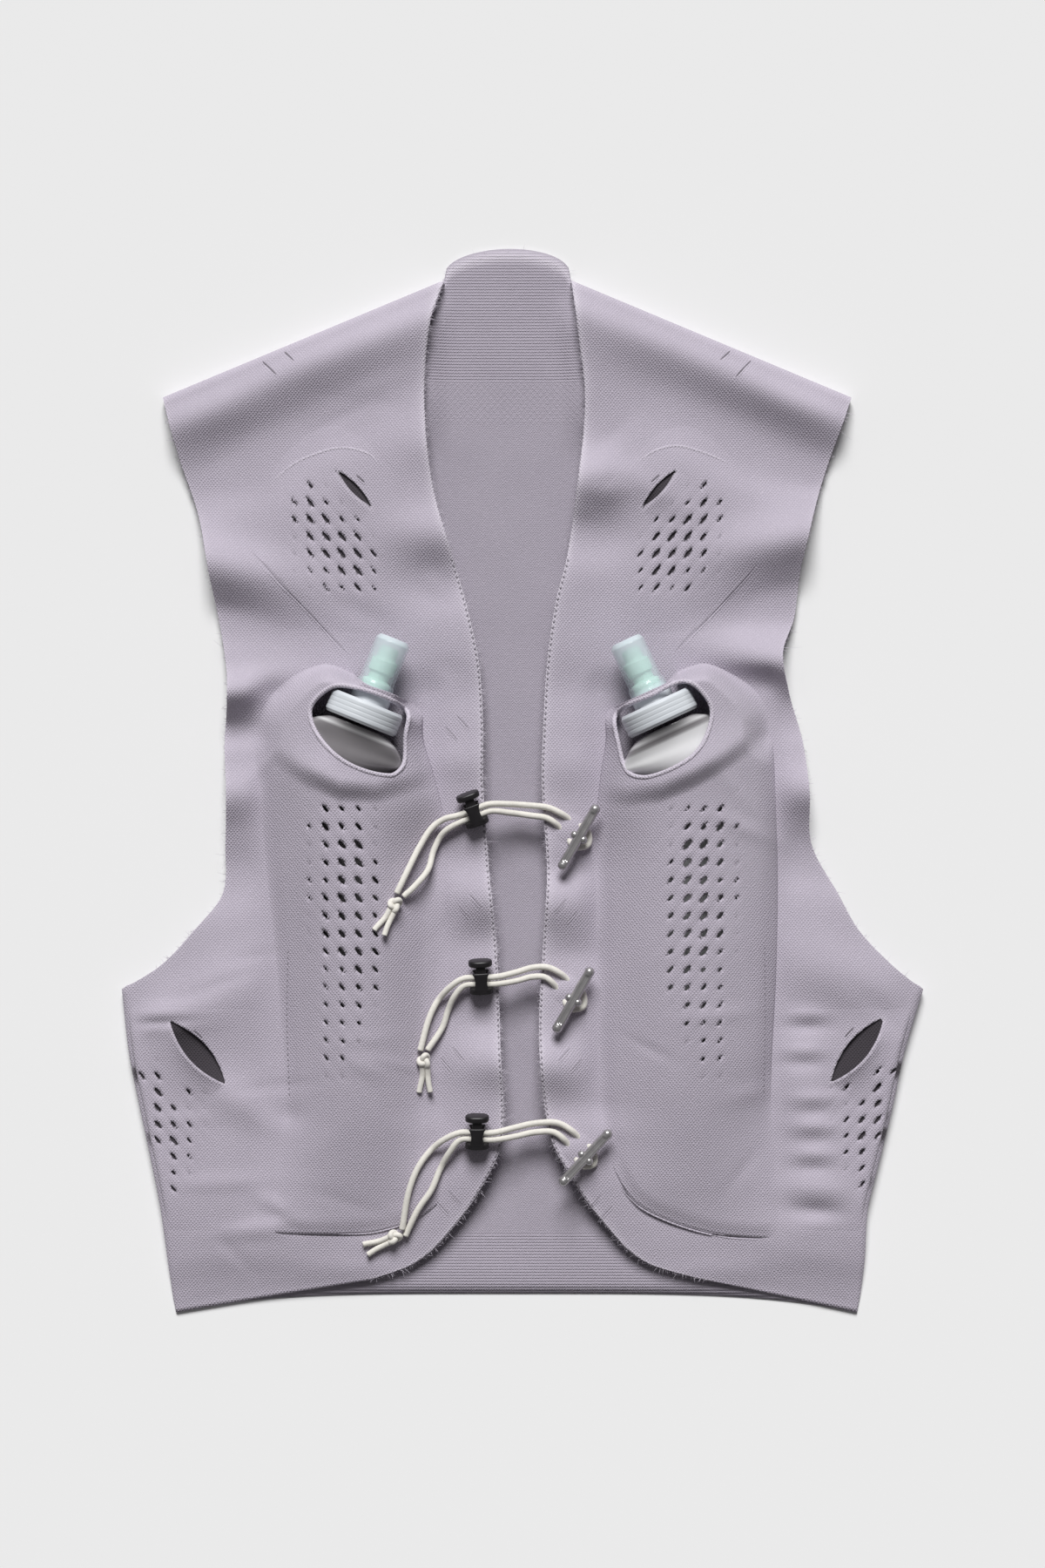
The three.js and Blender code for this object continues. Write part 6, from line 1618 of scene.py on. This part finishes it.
def braided(path, radius=CORD / 2):
    """A cord round a path, a braid of two hands: radius + relief * |sin(4 a + b) * sin(4 a - b)|^0.5, where b
    is the turn along the path by its pitch."""
    along = 2 * np.pi * run_along(path)[:, None] / BRAID_PITCH
    round_it = BRAID_STRANDS / 2 * ring_angles(CORD_SIDES)[None]
    weave = np.sin(round_it + along) * np.sin(round_it - along)
    return carried_ring(path, radius - BRAID_RELIEF + BRAID_RELIEF * np.sqrt(np.abs(weave)), CORD_SIDES)


def knot_end(closure, way):
    """Where a strand comes out of the knot, on one side of its middle or the other."""
    local = np.array([[-KNOT["length"] / 2 - KNOT["exit"], way * STRAND_APART, 0]])
    return tuple(turned_to(local, (*closure["knot"], 0), closure["knot_turn"])[0, :2])


def bridge_middle(closure):
    """The middle of the place where the two strands are under the front's knit."""
    return (np.array(closure["upper"][BRIDGE_AT]) + np.array(closure["lower"][BRIDGE_AT])) / 2


def cord_line(closure, place):
    """The middle line of a cord: a smooth plan through its points, at the highest of the parabolas that hang
    from each point where it could touch the knit, and at the level of the hole in its lock. Beside the toggle
    it dives under."""
    half = LOCK_REACH + LOCK_CLEAR

    def in_lock(across, along):
        local = np.array([[across, along, 0]])
        return tuple(turned_to(local, place, closure["lock_turn"], LOCK_PITCH)[0, :2])

    plan = smooth_route([
        knot_end(closure, -1), *closure["outer"],
        *[in_lock(across, STRAND_APART) for across in (-half, 0, half)],
        *closure["upper"], closure["turn_point"], *closure["lower"][::-1],
        *[in_lock(across, -STRAND_APART) for across in (half, 0, -half)],
        *closure["inner"][::-1], knot_end(closure, 1)], PLAN_STEP)
    near = np.stack([vest_top(plan[:, 0] + dx, plan[:, 1] + dy) for dx in SPOT for dy in SPOT])
    rest = near.max(axis=0) + CORD / 2 + CORD_REST
    across, along = turned_axes(plan[:, 0], plan[:, 1], place, closure["lock_turn"])
    held = (np.abs(across) < LOCK_REACH) & (np.abs(along) < 2 * STRAND_APART)
    rest = np.where(held, place[2] + along * np.tan(np.radians(LOCK_PITCH)), rest)
    run = run_along(plan)
    hung = (rest[None] - (run[:, None] - run[None]) ** 2 / (2 * CORD_SAG_RADIUS)).max(axis=1)
    level = np.where(held, rest, hung)
    blur = np.exp(-(np.arange(-BLUR["half"], BLUR["half"] + 1) / BLUR["reach"]) ** 2)
    even = np.convolve(np.pad(level, BLUR["half"], mode="edge"), blur / blur.sum(), mode="valid")
    level = np.where(held, level, np.maximum(even, level - BLUR_FALL))
    under = np.hypot(*(plan - bridge_middle(closure)).T)
    return np.column_stack([plan, level - DIVE["depth"] * np.exp(-(under / DIVE["reach"]) ** 4)])


def knot_shape():
    """Points and faces of an overhand knot along X: a trefoil line x = sin t + 2 sin 2t, y = cos t - 2 cos 2t,
    z = -sin 3t as a tube, and two wavy ends that leave it."""
    t = np.linspace(0, 2 * np.pi, KNOT_LOOP["steps"] + 1)[:-1]
    x, y, z = np.sin(t) + 2 * np.sin(2 * t), np.cos(t) - 2 * np.cos(2 * t), -np.sin(3 * t)
    trefoil = np.column_stack([x, y, z]) * KNOT_LOOP["size"]
    parts = [carried_ring(trefoil, KNOT_LOOP["radius"], KNOT_LOOP["sides"], closed=True)]
    u = np.linspace(0, 1, TAIL["steps"])
    for way in (1, -1):
        apart = TAIL["from"] + (TAIL["spread"] - TAIL["from"]) * smooth(u)
        tail = np.column_stack([
            1 + (KNOT["length"] / 2 + TAIL["length"] - 1) * u,
            way * apart + TAIL_WAVE["rise"] * np.sin(TAIL_WAVE["turns"] * u + way),
            -TAIL["drop"] * smooth(u / TAIL_DROPPED)])
        parts.append(braided(tail, CORD / 2 - TAIL["thinner"]))
    return joined(parts)


cord_finish, cord_tree, cord_shader = moulded_finish(
    "braided_cord", (0.60, 0.575, 0.525, 1), (0.80, 0.775, 0.72, 1), grain=700.0, smear=(0.85, 0.95),
    Sheen_Weight=0.15)
cord_yarn = {"Strength": 0.4, "Distance": 0.2 * MM, "Height": object_noise(cord_tree, 1800.0)}
cord_bump = add_node(cord_tree, "ShaderNodeBump", cord_yarn)
cord_tree.links.new(cord_bump.outputs["Normal"], cord_shader.inputs["Normal"])
for number, (closure, place) in enumerate(zip(CLOSURES, lock_places), 1):
    line = cord_line(closure, place)
    points, faces = braided(line)
    cord = lay_mesh(f"cord_{number}_braid", points, faces, cord_finish)
    worn_on(cord, "vest", "cord", f"closure_cord_{number}")
    x, y = closure["knot"]
    level = float(vest_top(np.array(x), np.array(y))) + KNOT["height"] / 2
    reach = KNOT["length"] / 2 + TAIL["length"]
    end = turned_to(np.array([[reach, 0, 0]]), (x, y, 0), closure["knot_turn"])[0]
    end_level = float(vest_top(end[0], end[1])) + CORD / 2 + TAIL["rest"]
    points, faces = knot_shape()
    drop = np.arctan2(level - TAIL["drop"] - end_level, reach)
    points[:, 2] -= np.maximum(points[:, 0], 0) * np.tan(drop)
    points = turned_to(points, (x, y, level), closure["knot_turn"])
    knot = lay_mesh(f"cord_{number}_knot", points, faces, cord_finish)
    worn_on(knot, "vest", "cord", f"cord_knot_{number}")

# Cord strips
# Places of the left front's own knit beside the toggles, a little raised, that the two strands dive under.
STRIP = {"across": 11, "along": 9, "thick": 1.4, "crown": 1.3, "sunk": 0.15}
STRIP_STEPS = 31


def strip_shape(closure):
    """Points and faces of a strip: a low mound foot + crown * ((1 - s^2) * (1 - w^2))^1.5 over the cords."""
    s, w = np.meshgrid(np.linspace(-1, 1, STRIP_STEPS), np.linspace(-1, 1, STRIP_STEPS))
    apart = np.array(closure["upper"][BRIDGE_AT]) - np.array(closure["lower"][BRIDGE_AT])
    across = apart / np.linalg.norm(apart)
    along = np.array([across[1], -across[0]])
    plan = bridge_middle(closure) + s[..., None] * across * STRIP["across"]
    plan = plan + w[..., None] * along * STRIP["along"]
    foot = vest_top(plan[..., 0], plan[..., 1]) - STRIP["thick"] / 2 - STRIP["sunk"]
    z = foot + STRIP["crown"] * ((1 - s ** 2) * (1 - w ** 2)) ** 1.5
    return np.concatenate([plan, z[..., None]], axis=-1).reshape(-1, 3), grid_faces(*s.shape)


for number, closure in enumerate(CLOSURES, 1):
    points, faces = strip_shape(closure)
    values = {"raw": np.zeros(len(points)), "painted_shade": np.zeros(len(points))}
    strip = lay_mesh(f"cord_strip_{number}", points, faces, front_finish, values, closed=False)
    worn_on(thicken(strip, STRIP["thick"]), "vest", "knit", f"cord_bridge_{number}")

# Knitted marks
# Slits, ridges and stitches of the fronts' own knit: arched ridges over the chest pockets, seams below them,
# short slits at the shoulders, chest and front edges, stitches by the flask pockets and edges, and hem seams.
# A ridge's raw value is a painted highlight along its crest.
RIDGE = {"width": 2.0, "flat": 0.3, "raw": 0.4, "painted_shade": 0.0}
# The shade of seams, slits, faint slits and stitches is painted shade for their shadow.
SEAM = {"width": 2.6, "flat": 0.12, "raw": 0.0, "painted_shade": 0.16}
SLIT = {"width": 1.5, "flat": 0.25, "raw": 0.0, "painted_shade": 0.65}
FAINT_SLIT = {"width": 1.1, "flat": 0.25, "raw": 0.0, "painted_shade": 0.35}
STITCH = {"width": 1.7, "flat": 0.25, "raw": 0.0, "painted_shade": 0.5}
# A lip is a pale tube beside a slit or seam, whose raw value is a painted highlight for its lit side.
LIP = {"width": 1.2, "flat": 0.35, "raw": 0.2, "painted_shade": 0.0}
LIP_STEP = 1.5                  # from the middle of a slit to that of the pale lip below it
STITCH_STEP = 3.6
STITCH_LENGTH = 2.2
EDGE_STITCHED = (0.08, 0.72)    # shares of a front's edge between which stitches show
EDGE_INSET = 1.1
EDGE_STITCH_STEPS = 40
MARK_STEP = 1.0
MARK_SIDES = 8
SMALLEST_TAPER = 0.08
PAIR_APART = 10
PAIR_LENGTH = 12
MARKS = {
    "right": {
        "ridges": [[(-160.3, 189.5), (-148, 200), (-136.7, 206.4), (-114.9, 212.3), (-96.4, 208),
                    (-89.6, 199.6)]],
        "seams": [[(-173.8, 149), (-155.3, 130.6), (-132, 107), (-109.8, 81.8)]],
        "slits": [[(-105, 195.2), (-99.7, 190.4)], [(-165.5, 268), (-155.3, 258.2)],
                  [(-151.5, 274), (-144, 266.6)], [(-207.5, -155), (-202, -160.5)]],
        "pairs": [(-41.3, 35.8), (-33, -77), (-44, -173.3), (-46.8, -264)],
        "pair_turn": -48,
        "stitches": [[(-147.5, -106), (-148.5, -150), (-147, -196)]],
        "hem_seam": [(-118, -283), (-95, -282), (-72, -276)],
    },
    "left": {
        "ridges": [[(72, 203), (84, 210.5), (97, 213.5), (113, 210), (133, 202)]],
        "seams": [[(150, 142), (139.6, 130.6), (118, 107), (95.8, 83.5)]],
        "slits": [[(81, 190.4), (86.6, 195.4)], [(124.4, 266.9), (133, 275)], [(134.5, 256.9), (146, 269)],
                  [(203.5, -160), (209.5, -153.5)]],
        "pairs": [(27.5, -79.8), (30.3, -173.3), (49.5, -266.8)],
        "pair_turn": 48,
        "stitches": [[(152, -103), (152.5, -150), (152, -194)]],
        "hem_seam": [(62, -254), (76, -267), (102, -278.5), (128, -285), (156, -287)],
    },
}


def mark_tubes(lines, look, shift=0.0):
    """Marks along lines on the knit, each as points, faces, rawness (a painted highlight on lips and ridges)
    and
    painted shade: a flat tapered tube, half sunk, with a radius width / 2 * (1 - (2t - 1)^4). shift moves it
    towards -Y."""
    plans = [smooth_route(np.array(line, float) - [0, shift], MARK_STEP) for line in lines]
    every = np.concatenate(plans)
    tops = np.split(vest_top(every[:, 0], every[:, 1]), np.cumsum([len(plan) for plan in plans])[:-1])
    tubes = []
    for plan, top in zip(plans, tops):
        taper = 1 - np.linspace(-1, 1, len(plan)) ** 4
        radius = look["width"] / 2 * np.maximum(taper, SMALLEST_TAPER)
        line = np.column_stack([plan, top])
        points, faces = carried_ring(line, radius[:, None], MARK_SIDES, flat=look["flat"])
        tubes.append((points, faces, np.full(len(points), look["raw"]), np.full(len(points), look["painted_shade"])))
    return tubes


def stitch_line(points):
    """Short dashes along a line."""
    line = smooth_route(np.array(points, float), STITCH_STEP)
    ahead = np.gradient(line, axis=0)
    ahead = ahead / np.linalg.norm(ahead, axis=1, keepdims=True) * STITCH_LENGTH / 2
    return [[middle - half, middle, middle + half] for middle, half in zip(line, ahead)]


def edge_line(side):
    """The line just inside a front's raw edge, from the hem's curve to the chest."""
    line = edge_point(FRONT_EDGE, side, np.linspace(*EDGE_STITCHED, EDGE_STITCH_STEPS))
    return line - [EDGE_INSET * TO_MIDDLE[side], 0]


def slit_pairs(middles, turn):
    """Two short slits beside each other about each middle."""
    along = np.array([np.cos(np.radians(turn)), np.sin(np.radians(turn))]) * PAIR_LENGTH / 2
    across = np.array([-along[1], along[0]]) / PAIR_LENGTH * PAIR_APART
    return [[place - along, place + along] for middle in middles
            for place in (np.array(middle) - across, np.array(middle) + across)]


for side in SIDES:
    marks = MARKS[side]
    pairs = slit_pairs(marks["pairs"], marks["pair_turn"])
    dashes = [dash for line in [*marks["stitches"], edge_line(side)] for dash in stitch_line(line)]
    tubes = mark_tubes(marks["ridges"], RIDGE) + mark_tubes(dashes, STITCH)
    tubes += mark_tubes(marks["seams"], SEAM) + mark_tubes(marks["seams"], LIP, 2 * LIP_STEP)
    tubes += mark_tubes(marks["slits"], SLIT) + mark_tubes(marks["slits"], LIP, LIP_STEP)
    faint = pairs + [marks["hem_seam"]]
    tubes += mark_tubes(faint, FAINT_SLIT) + mark_tubes(faint, LIP, LIP_STEP)
    points, faces = joined([tube[:2] for tube in tubes])
    raw, painted_shade = (np.concatenate([tube[column] for tube in tubes]) for column in (2, 3))
    values = {"raw": raw, "painted_shade": painted_shade}
    worn_on(lay_mesh(f"front_marks_{side}", points, faces, front_finish, values), "vest", "knit")
